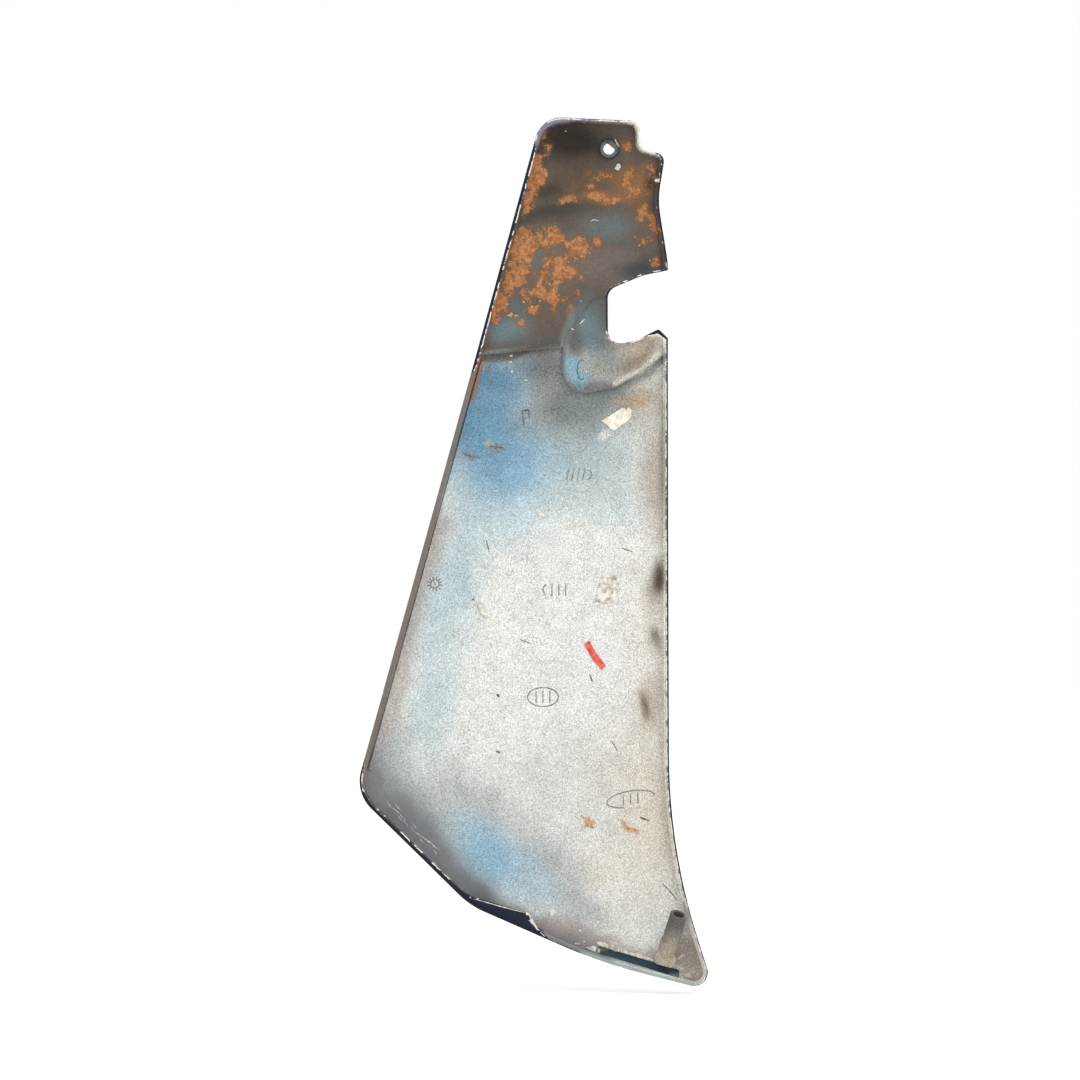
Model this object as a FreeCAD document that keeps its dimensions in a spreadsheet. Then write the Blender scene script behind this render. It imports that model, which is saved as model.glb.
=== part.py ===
import FreeCAD, Part
import math
import os

import Sketcher

# Radiator side cover of a motorbike: one thin plastic moulding, seen here from its hollow inner side.
# X runs across the cover, +Z up its length and -Y towards the inner side, with the screw hole at the origin.

doc = FreeCAD.newDocument("side_cover")
sizes = doc.addObject("Spreadsheet::Sheet", "sizes")

# Driving dimensions, in millimetres and degrees
DRIVING = [
    # Moulded wall and the two radii of the bowed outer face
    ("wall", 2.2),
    ("long_radius", 900.0),
    ("cross_radius", 350.0),
    ("panel_mid_x", -25.0),
    ("panel_mid_z", -186.0),
    # Corners of the outline, clockwise from the foot of the long rim, with the radius of each
    ("left_foot_x", -117.8),
    ("left_foot_z", -298.5),
    ("left_foot_r", 18.0),
    ("top_left_x", -31.4),
    ("top_left_z", 14.6),
    ("top_left_r", 12.5),
    ("top_right_x", 13.9),
    ("top_right_z", 12.4),
    ("top_right_r", 5.0),
    ("scallop_x", 14.4),
    ("scallop_z", -0.5),
    ("scallop_r", 4.0),
    ("nose_x", 26.0),
    ("nose_z", -2.8),
    ("nose_r", 4.2),
    ("waist_x", 22.7),
    ("waist_z", -23.7),
    ("waist_r", 40.0),
    ("hip_x", 27.4),
    ("hip_z", -52.4),
    ("hip_r", 40.0),
    ("flare_x", 28.2),
    ("flare_z", -325.3),
    ("flare_r", 280.0),
    ("tip_x", 48.7),
    ("tip_z", -390.0),
    ("tip_r", 6.5),
    ("keel_x", -4.2),
    ("keel_z", -377.2),
    ("keel_r", 250.0),
    ("bend_x", -64.5),
    ("bend_z", -350.9),
    ("bend_r", 40.0),
    # Rounding between the outer face and the rim, and the rim's height over the outer face
    ("edge_round", 3.4),
    ("rim_height", 9.0),
    ("low_rim_height", 6.0),
    ("low_rim_x", 17.0),
    ("low_rim_foot_z", -350.0),
    # Top tab, joggled towards the inner side so that it tucks under a neighbouring cover. Its outer face lies
    # this far out at the screw hole.
    ("tab_face_y", 1.65),
    ("tab_step", 2.0),
    ("step_left_z", -98.0),
    ("step_right_z", -81.5),
    # Stepped pad round the notch, and the rounding of its inner shoulder
    ("pad_step", 3.0),
    ("pad_round", 2.0),
    ("pad_top_x", -6.0),
    ("pad_top_z", -70.0),
    ("pad_top_r", 3.0),
    ("pad_side_x", -19.0),
    ("pad_side_z", -87.0),
    ("pad_side_r", 14.0),
    ("pad_heel_x", -20.3),
    ("pad_heel_z", -112.5),
    ("pad_heel_r", 9.0),
    ("pad_sole_x", 3.0),
    ("pad_sole_z", -108.5),
    ("pad_sole_r", 16.0),
    ("pad_toe_x", 34.0),
    ("pad_toe_z", -87.5),
    ("pad_toe_r", 2.0),
    ("pad_end_x", 34.0),
    ("pad_end_z", -70.0),
    ("pad_end_r", 2.0),
    # Notch in the right-hand edge, open to the right
    ("notch_mouth_top_x", 40.0),
    ("notch_mouth_top_z", -53.6),
    ("notch_bow_x", 16.0),
    ("notch_bow_z", -58.2),
    ("notch_bow_r", 25.0),
    ("notch_top_x", -0.5),
    ("notch_top_z", -65.0),
    ("notch_top_r", 6.0),
    ("notch_low_x", -0.3),
    ("notch_low_z", -90.8),
    ("notch_low_r", 6.0),
    ("notch_lip_x", 12.0),
    ("notch_lip_z", -88.8),
    ("notch_lip_r", 20.0),
    ("notch_crest_x", 23.2),
    ("notch_crest_z", -83.2),
    ("notch_crest_r", 1.5),
    ("notch_mouth_low_x", 40.0),
    ("notch_mouth_low_z", -100.0),
    # Stiffening rib along the left rim
    ("rib_top_x", -59.4),
    ("rib_top_z", -98.0),
    ("rib_foot_x", -111.6),
    ("rib_foot_z", -288.0),
    ("rib_width", 1.4),
    ("rib_height", 1.6),
    # Lip turned in from the rim at the lower left
    ("lip_start_x", -80.0),
    ("lip_start_z", -338.5),
    ("lip_knee_x", -62.2),
    ("lip_knee_z", -347.2),
    ("lip_knee_r", 6.0),
    ("lip_corner_x", -37.1),
    ("lip_corner_z", -354.4),
    ("lip_corner_r", 1.5),
    ("lip_end_x", -29.5),
    ("lip_end_z", -367.5),
    # Groove along the bottom wall, and the skin left under it
    ("groove_left_x", -5.0),
    ("groove_left_z", -371.6),
    ("groove_right_x", 32.5),
    ("groove_right_z", -382.4),
    ("groove_width", 3.6),
    ("groove_end_r", 0.8),
    ("groove_skin", 1.0),
    # Screw hole in the top tab, with a flat seat sunk outside and a collar inside
    ("hole_radius", 2.6),
    ("hole_length", 3.0),
    ("seat_depth", 0.65),
    ("collar_radius", 4.3),
    # Hollow locating peg at the lower right, which leans up from the bottom wall
    ("peg_tip_x", 32.1),
    ("peg_tip_height", 15.15),
    ("peg_tip_z", -354.4),
    ("peg_radius", 4.0),
    ("peg_seat", 14.0),
    ("peg_shoulder", 0.4),
    ("root_margin", 0.4),
    ("peg_bore_radius", 2.6),
    ("peg_bore_depth", 9.0),
    ("peg_length", 24.0),
    ("peg_rise", 25.0),
    ("peg_swing", 16.5),
    # Small nub beside the waist
    ("nub_x", 21.6),
    ("nub_z", -14.6),
    ("nub_radius", 2.1),
    ("nub_height", 7.15),
    # How far the working solids reach past the cover
    ("reach", 90.0),
    ("half_span", 130.0),
    ("sweep_angle", 40.0),
]

# Sizes worked out from the driving ones
WORKED_OUT = [
    ("cross_sag", "=cross_radius - sqrt(pow(cross_radius; 2) - pow(panel_mid_x; 2))"),
    ("hole_sag", "=long_radius - sqrt(pow(long_radius - cross_sag; 2) - pow(panel_mid_z; 2))"),
    ("panel_depth", "=tab_face_y + tab_step + hole_sag"),
    ("bow_axis_y", "=panel_depth - long_radius"),
    ("cross_centre_y", "=panel_depth - cross_radius"),
    ("bow_left_x", "=panel_mid_x - half_span"),
    ("bow_right_x", "=panel_mid_x + half_span"),
    ("bow_front_y", "=panel_depth - reach"),
    ("tab_left_x", "=panel_mid_x - reach"),
    ("tab_right_x", "=panel_mid_x + reach"),
    ("tab_top_z", "=top_left_z + reach"),
    ("low_rim_end_x", "=low_rim_x + reach"),
    ("low_rim_top_z", "=top_left_z + reach"),
    ("rib_top_inner_x", "=rib_top_x + rib_width"),
    ("rib_foot_inner_x", "=rib_foot_x + rib_width"),
    ("lip_outer_right_z", "=lip_end_z - rim_height"),
    ("lip_outer_left_x", "=lip_start_x - rim_height"),
    ("groove_left_top_z", "=groove_left_z + groove_width / 2"),
    ("groove_left_low_z", "=groove_left_z - groove_width / 2"),
    ("groove_right_top_z", "=groove_right_z + groove_width / 2"),
    ("groove_right_low_z", "=groove_right_z - groove_width / 2"),
    ("seat_y", "=tab_face_y - seat_depth"),
    ("collar_end_y", "=seat_y - hole_length"),
    ("nub_end_y", "=tab_face_y - nub_height"),
    ("peg_stem_radius", "=peg_radius + peg_shoulder"),
    ("peg_root_radius", "=peg_stem_radius + root_margin"),
    ("peg_tip_y", "=tab_face_y - peg_tip_height"),
    ("peg_drop", "=peg_length * cos(peg_rise)"),
    ("peg_root_x", "=peg_tip_x - peg_drop * sin(peg_swing)"),
    ("peg_root_y", "=peg_tip_y + peg_length * sin(peg_rise) - peg_stem_radius * cos(peg_rise) - root_margin"),
    ("peg_root_z", "=peg_tip_z - peg_drop * cos(peg_swing)"),
]


def fill_sheet():
    """Write every size into the sheet, under its own alias."""
    for row, (alias, value) in enumerate(DRIVING + WORKED_OUT, start=1):
        sizes.set("A%d" % row, alias.replace("_", " "))
        sizes.set("B%d" % row, str(value))
        sizes.setAlias("B%d" % row, alias)
    doc.recompute()


def size(alias):
    """The present value of one size."""
    return float(getattr(sizes, alias))


def bind(item, prop, expression):
    """Tie a property to the sheet."""
    item.setExpression(prop, expression)


def name_and_bind(sketch, index, name, alias):
    """Name one constraint of a sketch and tie it to a size."""
    sketch.renameConstraint(index, name)
    sketch.setExpression("Constraints." + name, "sizes." + alias)


def fix_point(sketch, point, name, alias_across, alias_along):
    """Place one sketch point by its two coordinates. A point is a pair of geometry and end."""
    across = sketch.addConstraint(Sketcher.Constraint("DistanceX", point[0], point[1], size(alias_across)))
    name_and_bind(sketch, across, name + "_across", alias_across)
    along = sketch.addConstraint(Sketcher.Constraint("DistanceY", point[0], point[1], size(alias_along)))
    name_and_bind(sketch, along, name + "_along", alias_along)


def outline_sketch(name, corners):
    """A closed polygon across X and Z. Each corner is two aliases, and a third where it is rounded later."""
    sketch = doc.addObject("Sketcher::SketchObject", name)
    sketch.Placement = FreeCAD.Placement(FreeCAD.Vector(), FreeCAD.Rotation(FreeCAD.Vector(1, 0, 0), 90))
    places = [FreeCAD.Vector(size(corner[0]), size(corner[1]), 0) for corner in corners]
    lines = []
    for start, end in zip(places, places[1:] + places[:1]):
        lines.append(sketch.addGeometry(Part.LineSegment(start, end)))
    for i, corner in enumerate(corners):
        sketch.addConstraint(Sketcher.Constraint("Coincident", lines[i - 1], 2, lines[i], 1))
        fix_point(sketch, (lines[i], 1), "corner_%d" % (i + 1), corner[0], corner[1])
    return sketch


def prism(name, profile):
    """A straight prism through the cover's whole depth."""
    solid = doc.addObject("Part::Extrusion", name)
    solid.Base = profile
    solid.DirMode = "Custom"
    solid.Dir = FreeCAD.Vector(0, 1, 0)
    solid.Symmetric = True
    solid.Solid = True
    bind(solid, "LengthFwd", "2 * sizes.reach")
    return solid


def turn_sense(before, corner, after):
    """Which way a polygon turns at one corner, as plus or minus one."""
    return math.copysign(1, (corner - before).cross(after - corner).y)


def rounded_prism(name, profile, corners, growth=0.0):
    """A prism of a polygon whose corners are rounded. Growth is how far the polygon was grown before."""
    block = prism(name + "_block", profile)
    doc.recompute()
    places = [FreeCAD.Vector(size(corner[0]), 0, size(corner[1])) for corner in corners]
    count = len(places)
    turns = [turn_sense(places[i - 1], places[i], places[(i + 1) % count]) for i in range(count)]
    outward = math.copysign(1, sum(turns))
    upright = {}
    for index, edge in enumerate(block.Shape.Edges, start=1):
        first, last = edge.Vertexes[0].Point, edge.Vertexes[-1].Point
        if abs(first.y - last.y) > size("reach"):
            upright[index] = FreeCAD.Vector(first.x, 0, first.z)
    chosen = []
    for corner, place, turn in zip(corners, places, turns):
        if len(corner) == 3:
            index = min(upright, key=lambda i: (upright[i] - place).Length)
            radius = size(corner[2]) + growth * turn * outward
            chosen.append((index, radius, radius))
    result = doc.addObject("Part::Fillet", name)
    result.Base = block
    result.Edges = chosen
    return result


def grown(name, profile, expression):
    """A profile grown all round, or shrunk where the amount is negative."""
    result = doc.addObject("Part::Offset2D", name)
    result.Source = profile
    result.Join = "Intersection"
    bind(result, "Value", expression)
    return result


def bowed_form(name, depth):
    """Everything on the inner side of the bowed outer face, once that face is moved in by a depth."""
    sketch = doc.addObject("Sketcher::SketchObject", name + "_section")
    bind(sketch, "Placement.Base.z", "sizes.panel_mid_z")
    radius = size("cross_radius")
    centre = FreeCAD.Vector(size("panel_mid_x"), size("cross_centre_y"), 0)
    lean = math.asin(size("half_span") / radius)
    circle = Part.Circle(centre, FreeCAD.Vector(0, 0, 1), radius)
    arc = sketch.addGeometry(Part.ArcOfCircle(circle, math.pi / 2 - lean, math.pi / 2 + lean))
    edge_y = centre.y + radius * math.cos(lean)
    right = FreeCAD.Vector(size("bow_right_x"), edge_y, 0)
    left = FreeCAD.Vector(size("bow_left_x"), edge_y, 0)
    front_right = FreeCAD.Vector(size("bow_right_x"), size("bow_front_y"), 0)
    front_left = FreeCAD.Vector(size("bow_left_x"), size("bow_front_y"), 0)
    left_side = sketch.addGeometry(Part.LineSegment(left, front_left))
    front = sketch.addGeometry(Part.LineSegment(front_left, front_right))
    right_side = sketch.addGeometry(Part.LineSegment(front_right, right))
    ring = [arc, left_side, front, right_side]
    for before, after in zip(ring, ring[1:] + ring[:1]):
        sketch.addConstraint(Sketcher.Constraint("Coincident", before, 2, after, 1))
    sketch.addConstraint(Sketcher.Constraint("Vertical", left_side))
    sketch.addConstraint(Sketcher.Constraint("Vertical", right_side))
    fix_point(sketch, (arc, 3), "centre", "panel_mid_x", "cross_centre_y")
    fix_point(sketch, (front, 1), "front_left", "bow_left_x", "bow_front_y")
    fix_point(sketch, (front, 2), "front_right", "bow_right_x", "bow_front_y")
    rounding = sketch.addConstraint(Sketcher.Constraint("Radius", arc, radius))
    sketch.renameConstraint(rounding, "rounding")
    sketch.setExpression("Constraints.rounding", "sizes.cross_radius - (%s)" % depth)
    form = doc.addObject("Part::Revolution", name)
    form.Source = sketch
    form.Axis = FreeCAD.Vector(1, 0, 0)
    form.Symmetric = True
    form.Solid = True
    bind(form, "Base.y", "sizes.bow_axis_y")
    bind(form, "Base.z", "sizes.panel_mid_z")
    bind(form, "Angle", "sizes.sweep_angle")
    return form


def boolean(kind, name, base, tool):
    """A two-piece boolean: Common, Cut or Fuse."""
    result = doc.addObject("Part::" + kind, name)
    result.Base = base
    result.Tool = tool
    result.Refine = True
    return result


def rim_rounding(name, blank, radius):
    """Round the edge between the bowed face and the rim. It is smooth, so its longest part leads."""
    doc.recompute()
    solid = blank.Shape
    bowed = max((f for f in solid.Faces if f.Surface.TypeId == "Part::GeomToroid"), key=lambda f: f.Area)
    longest = max(bowed.OuterWire.Edges, key=lambda edge: edge.Length)
    index = [edge.isSame(longest) for edge in solid.Edges].index(True) + 1
    result = doc.addObject("Part::Fillet", name)
    result.Base = blank
    result.Edges = [(index, radius, radius)]
    return result


def named_corners(*names):
    """The two aliases of each corner, and its radius where the sheet has one."""
    known = {alias for alias, _ in DRIVING + WORKED_OUT}
    corners = []
    for name in names:
        aliases = [name + "_x", name + "_z"]
        if name + "_r" in known:
            aliases.append(name + "_r")
        corners.append(tuple(aliases))
    return corners


fill_sheet()

# Outer form and hollow, each cut from a prism of the outline by the bowed face
outline_corners = named_corners("left_foot", "top_left", "top_right", "scallop", "nose",
                                "waist", "hip", "flare", "tip", "keel", "bend")
outline = outline_sketch("outline", outline_corners)
inner_outline = grown("inner_outline", outline, "-sizes.wall")
outer_prism = rounded_prism("outer_prism", outline, outline_corners)
inner_prism = rounded_prism("inner_prism", inner_outline, outline_corners, -size("wall"))
outer_blank = boolean("Common", "outer_blank", outer_prism, bowed_form("outer_bow", "0"))
hollow = boolean("Common", "hollow", inner_prism, bowed_form("inner_bow", "sizes.wall"))
outer_form = rim_rounding("outer_form", outer_blank, size("edge_round"))

# Joggled top tab and stepped pad, moved in by the same steps outside and inside. The pad has a round shoulder.
tab_outline = outline_sketch("tab_outline", [
    ("tab_left_x", "step_left_z"), ("tab_left_x", "tab_top_z"),
    ("tab_right_x", "tab_top_z"), ("tab_right_x", "step_right_z")])
pad_corners = named_corners("pad_top", "pad_end", "pad_toe", "pad_sole", "pad_heel", "pad_side")
pad_outline = outline_sketch("pad_outline", pad_corners)
wide_tab = grown("wide_tab", tab_outline, "sizes.wall")
wide_pad = grown("wide_pad", pad_outline, "sizes.wall")
STEPS = [
    ("tab", "sizes.tab_step", prism("tab_outside", tab_outline), prism("tab_inside", wide_tab), 0),
    ("pad", "sizes.pad_step", rounded_prism("pad_outside", pad_outline, pad_corners),
     rounded_prism("pad_inside", wide_pad, pad_corners, size("wall")), size("pad_round")),
]
for region, step, outside, inside, shoulder in STEPS:
    outer_step = boolean("Cut", region + "_outer_step", outside, bowed_form(region + "_outer_bow", step))
    outer_form = boolean("Cut", region + "_form", outer_form, outer_step)
    inner_step = boolean("Cut", region + "_inner_step", inside,
                         bowed_form(region + "_inner_bow", step + " + sizes.wall"))
    if shoulder:
        inner_step = rim_rounding(region + "_shoulder", inner_step, shoulder)
    hollow = boolean("Cut", region + "_hollow", hollow, inner_step)

# Shell with its rim cut to height, lower along the right-hand edge
rim_bow = bowed_form("rim_bow", "sizes.rim_height")
deep_shell = boolean("Cut", "deep_shell", outer_form, hollow)
shell = boolean("Cut", "shell", deep_shell, rim_bow)
low_rim_outline = outline_sketch("low_rim_outline", [
    ("low_rim_x", "low_rim_foot_z"), ("low_rim_x", "low_rim_top_z"),
    ("low_rim_end_x", "low_rim_top_z"), ("low_rim_end_x", "low_rim_foot_z")])
low_rim_room = boolean("Common", "low_rim_room", prism("low_rim_prism", low_rim_outline),
                       bowed_form("low_rim_bow", "sizes.low_rim_height"))
shell = boolean("Cut", "low_rim_shell", shell, low_rim_room)

# Stiffening rib, rooted in the middle of the wall
root_bow = bowed_form("root_bow", "sizes.wall / 2")
rib_outline = outline_sketch("rib_outline", [
    ("rib_foot_x", "rib_foot_z"), ("rib_top_x", "rib_top_z"),
    ("rib_top_inner_x", "rib_top_z"), ("rib_foot_inner_x", "rib_foot_z")])
rib_root = boolean("Common", "rib_root", prism("rib_prism", rib_outline), root_bow)
rib = boolean("Cut", "rib", rib_root, bowed_form("rib_bow", "sizes.wall + sizes.rib_height"))

# Lip turned in from the rim, one wall thick
lip_corners = named_corners("lip_start", "lip_knee", "lip_corner", "lip_end") + [
    ("lip_end_x", "lip_outer_right_z"), ("lip_outer_left_x", "lip_outer_right_z"),
    ("lip_outer_left_x", "lip_start_z")]
lip_prism = rounded_prism("lip_prism", outline_sketch("lip_outline", lip_corners), lip_corners)
lip_blank = boolean("Common", "lip_blank", lip_prism, outer_form)
lip_layer = boolean("Common", "lip_layer", lip_blank, bowed_form("lip_bow", "sizes.rim_height - sizes.wall"))
lip = boolean("Cut", "lip", lip_layer, rim_bow)


def round_bar(name, radius, length, placement):
    """A cylinder along its own Z, placed by an expression."""
    bar = doc.addObject("Part::Cylinder", name)
    bind(bar, "Radius", radius)
    bind(bar, "Height", length)
    bind(bar, "Placement", placement)
    return bar


def placed(place, axis, angle):
    """The expression of a placement from a point, an axis and a turn."""
    turn = "create(<<rotation>>; create(<<vector>>; %s); %s)" % (axis, angle)
    return "create(<<placement>>; create(<<vector>>; %s); %s)" % (place, turn)


# Collar, nub and peg, each trimmed by the outer form so that nothing shows outside. The peg's seat ends at a
# shoulder on a thicker stem, and the stem ends inside a root that drops straight to the panel.
collar_bar = round_bar("collar_bar", "sizes.collar_radius", "sizes.hole_length + sizes.wall",
                       placed("0; sizes.collar_end_y; 0", "1; 0; 0", "-90"))
nub_bar = round_bar("nub_bar", "sizes.nub_radius", "sizes.nub_height + sizes.reach",
                    placed("sizes.nub_x; sizes.nub_end_y; sizes.nub_z", "1; 0; 0", "-90"))
PEG_PLACE = (placed("sizes.peg_tip_x; sizes.peg_tip_y; sizes.peg_tip_z", "0; 1; 0", "sizes.peg_swing")
             + " * " + placed("0; 0; 0", "1; 0; 0", "sizes.peg_rise + 180"))
peg_bar = round_bar("peg_bar", "sizes.peg_radius", "sizes.peg_length", PEG_PLACE)
stem_bar = round_bar("stem_bar", "sizes.peg_stem_radius", "sizes.peg_length - sizes.peg_seat",
                     PEG_PLACE + " * " + placed("0; 0; sizes.peg_seat", "0; 0; 1", "0"))
root_bar = round_bar("root_bar", "sizes.peg_root_radius", "sizes.reach",
                     placed("sizes.peg_root_x; sizes.peg_root_y; sizes.peg_root_z", "1; 0; 0", "-90"))
fittings = []
bars = [("collar", collar_bar), ("nub", nub_bar), ("peg", peg_bar), ("stem", stem_bar), ("root", root_bar)]
for name, bar in bars:
    fittings.append(boolean("Common", name, bar, outer_form))

# All of it moulded in one piece
moulding = doc.addObject("Part::MultiFuse", "moulding")
moulding.Shapes = [shell, rib, lip] + fittings
moulding.Refine = True

# Cuts: the notch, the groove down to its skin, the screw hole with its seat, and the peg's bore
notch_corners = named_corners("notch_mouth_top", "notch_bow", "notch_top", "notch_low", "notch_lip",
                              "notch_crest", "notch_mouth_low")
notch = rounded_prism("notch", outline_sketch("notch_outline", notch_corners), notch_corners)
groove_corners = [
    ("groove_left_x", "groove_left_low_z", "groove_end_r"),
    ("groove_left_x", "groove_left_top_z", "groove_end_r"),
    ("groove_right_x", "groove_right_top_z", "groove_end_r"),
    ("groove_right_x", "groove_right_low_z", "groove_end_r")]
groove_prism = rounded_prism("groove_prism", outline_sketch("groove_outline", groove_corners), groove_corners)
groove = boolean("Common", "groove", groove_prism, bowed_form("groove_bow", "sizes.groove_skin"))
hole_bar = round_bar("hole_bar", "sizes.hole_radius", "2 * sizes.reach",
                     placed("0; -sizes.reach; 0", "1; 0; 0", "-90"))
seat_bar = round_bar("seat_bar", "sizes.collar_radius", "sizes.reach",
                     placed("0; sizes.seat_y; 0", "1; 0; 0", "-90"))
peg_bore = round_bar("peg_bore", "sizes.peg_bore_radius", "sizes.peg_bore_depth", PEG_PLACE)
cover = moulding
cuts = [("notch_cut", notch), ("groove_cut", groove), ("hole_cut", hole_bar), ("seat_cut", seat_bar),
        ("side_cover", peg_bore)]
for name, tool in cuts:
    cover = boolean("Cut", name, cover, tool)
cover.Label = "side_cover"

doc.recompute()

# Nothing is written unless every step of the model is sound
for item in doc.Objects:
    if "Invalid" in item.State or "Error" in item.State:
        raise RuntimeError("%s failed: %s" % (item.Name, item.State))
if cover.Shape.isNull() or not cover.Shape.isValid() or len(cover.Shape.Solids) != 1:
    raise RuntimeError("the cover is not one sound solid")

os.makedirs("parts", exist_ok=True)
cover.Shape.exportStep("parts/%s.step" % cover.Label)
box = cover.Shape.optimalBoundingBox()
print("side_cover %.1f x %.1f x %.1f mm" % (box.XLength, box.YLength, box.ZLength))
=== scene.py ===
import math
import random

import bmesh
import bpy
import numpy as np
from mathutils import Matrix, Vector
from mathutils.bvhtree import BVHTree
from mathutils.kdtree import KDTree


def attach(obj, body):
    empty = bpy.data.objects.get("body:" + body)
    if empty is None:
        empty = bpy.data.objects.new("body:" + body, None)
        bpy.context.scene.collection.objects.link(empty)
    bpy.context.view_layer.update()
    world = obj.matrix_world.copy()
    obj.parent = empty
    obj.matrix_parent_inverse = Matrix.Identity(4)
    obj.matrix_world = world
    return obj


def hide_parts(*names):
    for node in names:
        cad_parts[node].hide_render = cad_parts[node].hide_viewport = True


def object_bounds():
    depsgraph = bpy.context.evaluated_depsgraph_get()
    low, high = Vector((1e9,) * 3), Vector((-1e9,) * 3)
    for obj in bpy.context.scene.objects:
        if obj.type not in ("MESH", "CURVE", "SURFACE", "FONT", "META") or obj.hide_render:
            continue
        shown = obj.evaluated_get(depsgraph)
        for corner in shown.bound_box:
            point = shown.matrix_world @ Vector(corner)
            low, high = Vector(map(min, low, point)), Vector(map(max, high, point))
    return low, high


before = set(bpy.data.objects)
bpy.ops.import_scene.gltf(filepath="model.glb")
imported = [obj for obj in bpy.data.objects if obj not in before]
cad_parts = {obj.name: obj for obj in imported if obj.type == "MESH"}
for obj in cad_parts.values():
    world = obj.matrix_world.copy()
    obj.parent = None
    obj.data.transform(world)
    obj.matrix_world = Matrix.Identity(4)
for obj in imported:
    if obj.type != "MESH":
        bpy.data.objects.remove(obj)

cad_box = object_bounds()

# The moulding is the whole side cover, one thin plastic shell with two painted sides.
# Its faces are the solid's own, cut into small triangles so that the paint can vary across them.
# It takes the place of the solid in the picture and rides on the root.
MM = 0.001
OUTWARD = Vector((0, 1, 0))
INSIDE, OUTSIDE = 0, 1
EDGE_LIMIT = {INSIDE: 1.6 * MM, OUTSIDE: 5 * MM}
COLLAR_REACH = 6 * MM
COLLAR_FACING = 0.5
RAY_START = 0.02 * MM
WALL_CLEARANCE = 0.3 * MM
WALL_FACING = 0.9
UPRIGHT_FACING = 0.25
LIP_RIGHT, LIP_TOP = -27 * MM, -336 * MM
LIP_FACING = -0.3
SAME_EDGE, SAME_POINT = 1e-7, 1e-6
# How a triangle is cut, by which of its edges are too long: 0 to 2 are corners and 3 to 5 edge middles.
SPLITS = {
    0: [(0, 1, 2)],
    1: [(0, 3, 2), (3, 1, 2)],
    2: [(0, 1, 4), (0, 4, 2)],
    3: [(3, 1, 4), (0, 3, 4), (0, 4, 2)],
    4: [(0, 1, 5), (5, 1, 2)],
    5: [(5, 0, 3), (3, 1, 2), (3, 2, 5)],
    6: [(4, 2, 5), (1, 4, 5), (0, 1, 5)],
    7: [(0, 3, 5), (3, 1, 4), (5, 4, 2), (3, 4, 5)],
}
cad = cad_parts["side_cover"]
solid = BVHTree.FromObject(cad, bpy.context.evaluated_depsgraph_get())


def side_of(centre, normal):
    """Which painted side a face belongs to: the outside sees open air behind it."""
    if math.hypot(centre.x, centre.z) < COLLAR_REACH and normal.y < COLLAR_FACING:
        return INSIDE
    start = centre + OUTWARD * RAY_START
    if abs(normal.y) < WALL_FACING:
        start += normal * WALL_CLEARANCE
    exit_point = solid.ray_cast(start, OUTWARD)[0]
    if exit_point is None:
        return OUTSIDE
    if normal.y < LIP_FACING and centre.x < LIP_RIGHT and centre.z < LIP_TOP:
        beyond = solid.ray_cast(exit_point + OUTWARD * RAY_START, OUTWARD)[0]
        return OUTSIDE if beyond else INSIDE
    return INSIDE


def split_once(places, normals, sides):
    """Halve every edge longer than its limit. Both faces of an edge agree, so no crack opens."""
    after = np.roll(places, -1, axis=1)
    middles = (places + after) / 2
    lengths = np.linalg.norm(after - places, axis=2)
    keys = np.round(middles.reshape(-1, 3) / SAME_EDGE).astype(np.int64)
    shared = np.unique(keys, axis=0, return_inverse=True)[1].reshape(-1)
    limits = np.full(shared.max() + 1, 1.0)
    np.minimum.at(limits, shared, np.repeat([EDGE_LIMIT[s] for s in sides], 3))
    long = lengths > limits[shared].reshape(-1, 3)
    code = long @ np.array([1, 2, 4])
    turned = normals + np.roll(normals, -1, axis=1)
    turned /= np.linalg.norm(turned, axis=2, keepdims=True)
    six_places = np.concatenate([places, middles], axis=1)
    six_normals = np.concatenate([normals, turned], axis=1)
    out = [[], [], []]
    for kind, triangles in SPLITS.items():
        rows = np.nonzero(code == kind)[0]
        for triangle in triangles:
            out[0].append(six_places[rows][:, triangle])
            out[1].append(six_normals[rows][:, triangle])
            out[2].append(sides[rows])
    return [np.concatenate(part) for part in out], bool(long.any())


def placed(name, data):
    """A new object of a mesh, a lamp or a camera, put in the scene."""
    made = bpy.data.objects.new(name, data)
    bpy.context.scene.collection.objects.link(made)
    return made


points = np.empty(len(cad.data.vertices) * 3)
cad.data.vertices.foreach_get("co", points)
corners = np.empty(len(cad.data.loops), dtype=np.int64)
cad.data.loops.foreach_get("vertex_index", corners)
normals = np.empty(len(cad.data.loops) * 3)
cad.data.corner_normals.foreach_get("vector", normals)
places = points.reshape(-1, 3)[corners].reshape(-1, 3, 3)
normals = normals.reshape(-1, 3, 3)
sides = np.array([side_of(face.center, face.normal) for face in cad.data.polygons])
upright = np.array([abs(face.normal.y) < UPRIGHT_FACING for face in cad.data.polygons])
outer_walls = places[(sides == OUTSIDE) & upright]
unfinished = True
while unfinished:
    (places, normals, sides), unfinished = split_once(places, normals, sides)
keys = np.round(places.reshape(-1, 3) / SAME_POINT).astype(np.int64)
first, joined = np.unique(keys, axis=0, return_index=True, return_inverse=True)[1:]
corners = joined.reshape(-1, 3)
whole = (corners != np.roll(corners, 1, axis=1)).all(axis=1)
vertices = places.reshape(-1, 3)[first]
mesh = bpy.data.meshes.new("side_cover_moulding")
mesh.from_pydata(vertices.tolist(), [], corners[whole].tolist())
mesh.polygons.foreach_set("use_smooth", np.ones(int(whole.sum()), dtype=bool))
mesh.polygons.foreach_set("material_index", sides[whole].astype(np.int32))
mesh.normals_split_custom_set(normals[whole].reshape(-1, 3).tolist())
moulding = placed("side_cover_moulding", mesh)

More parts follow.
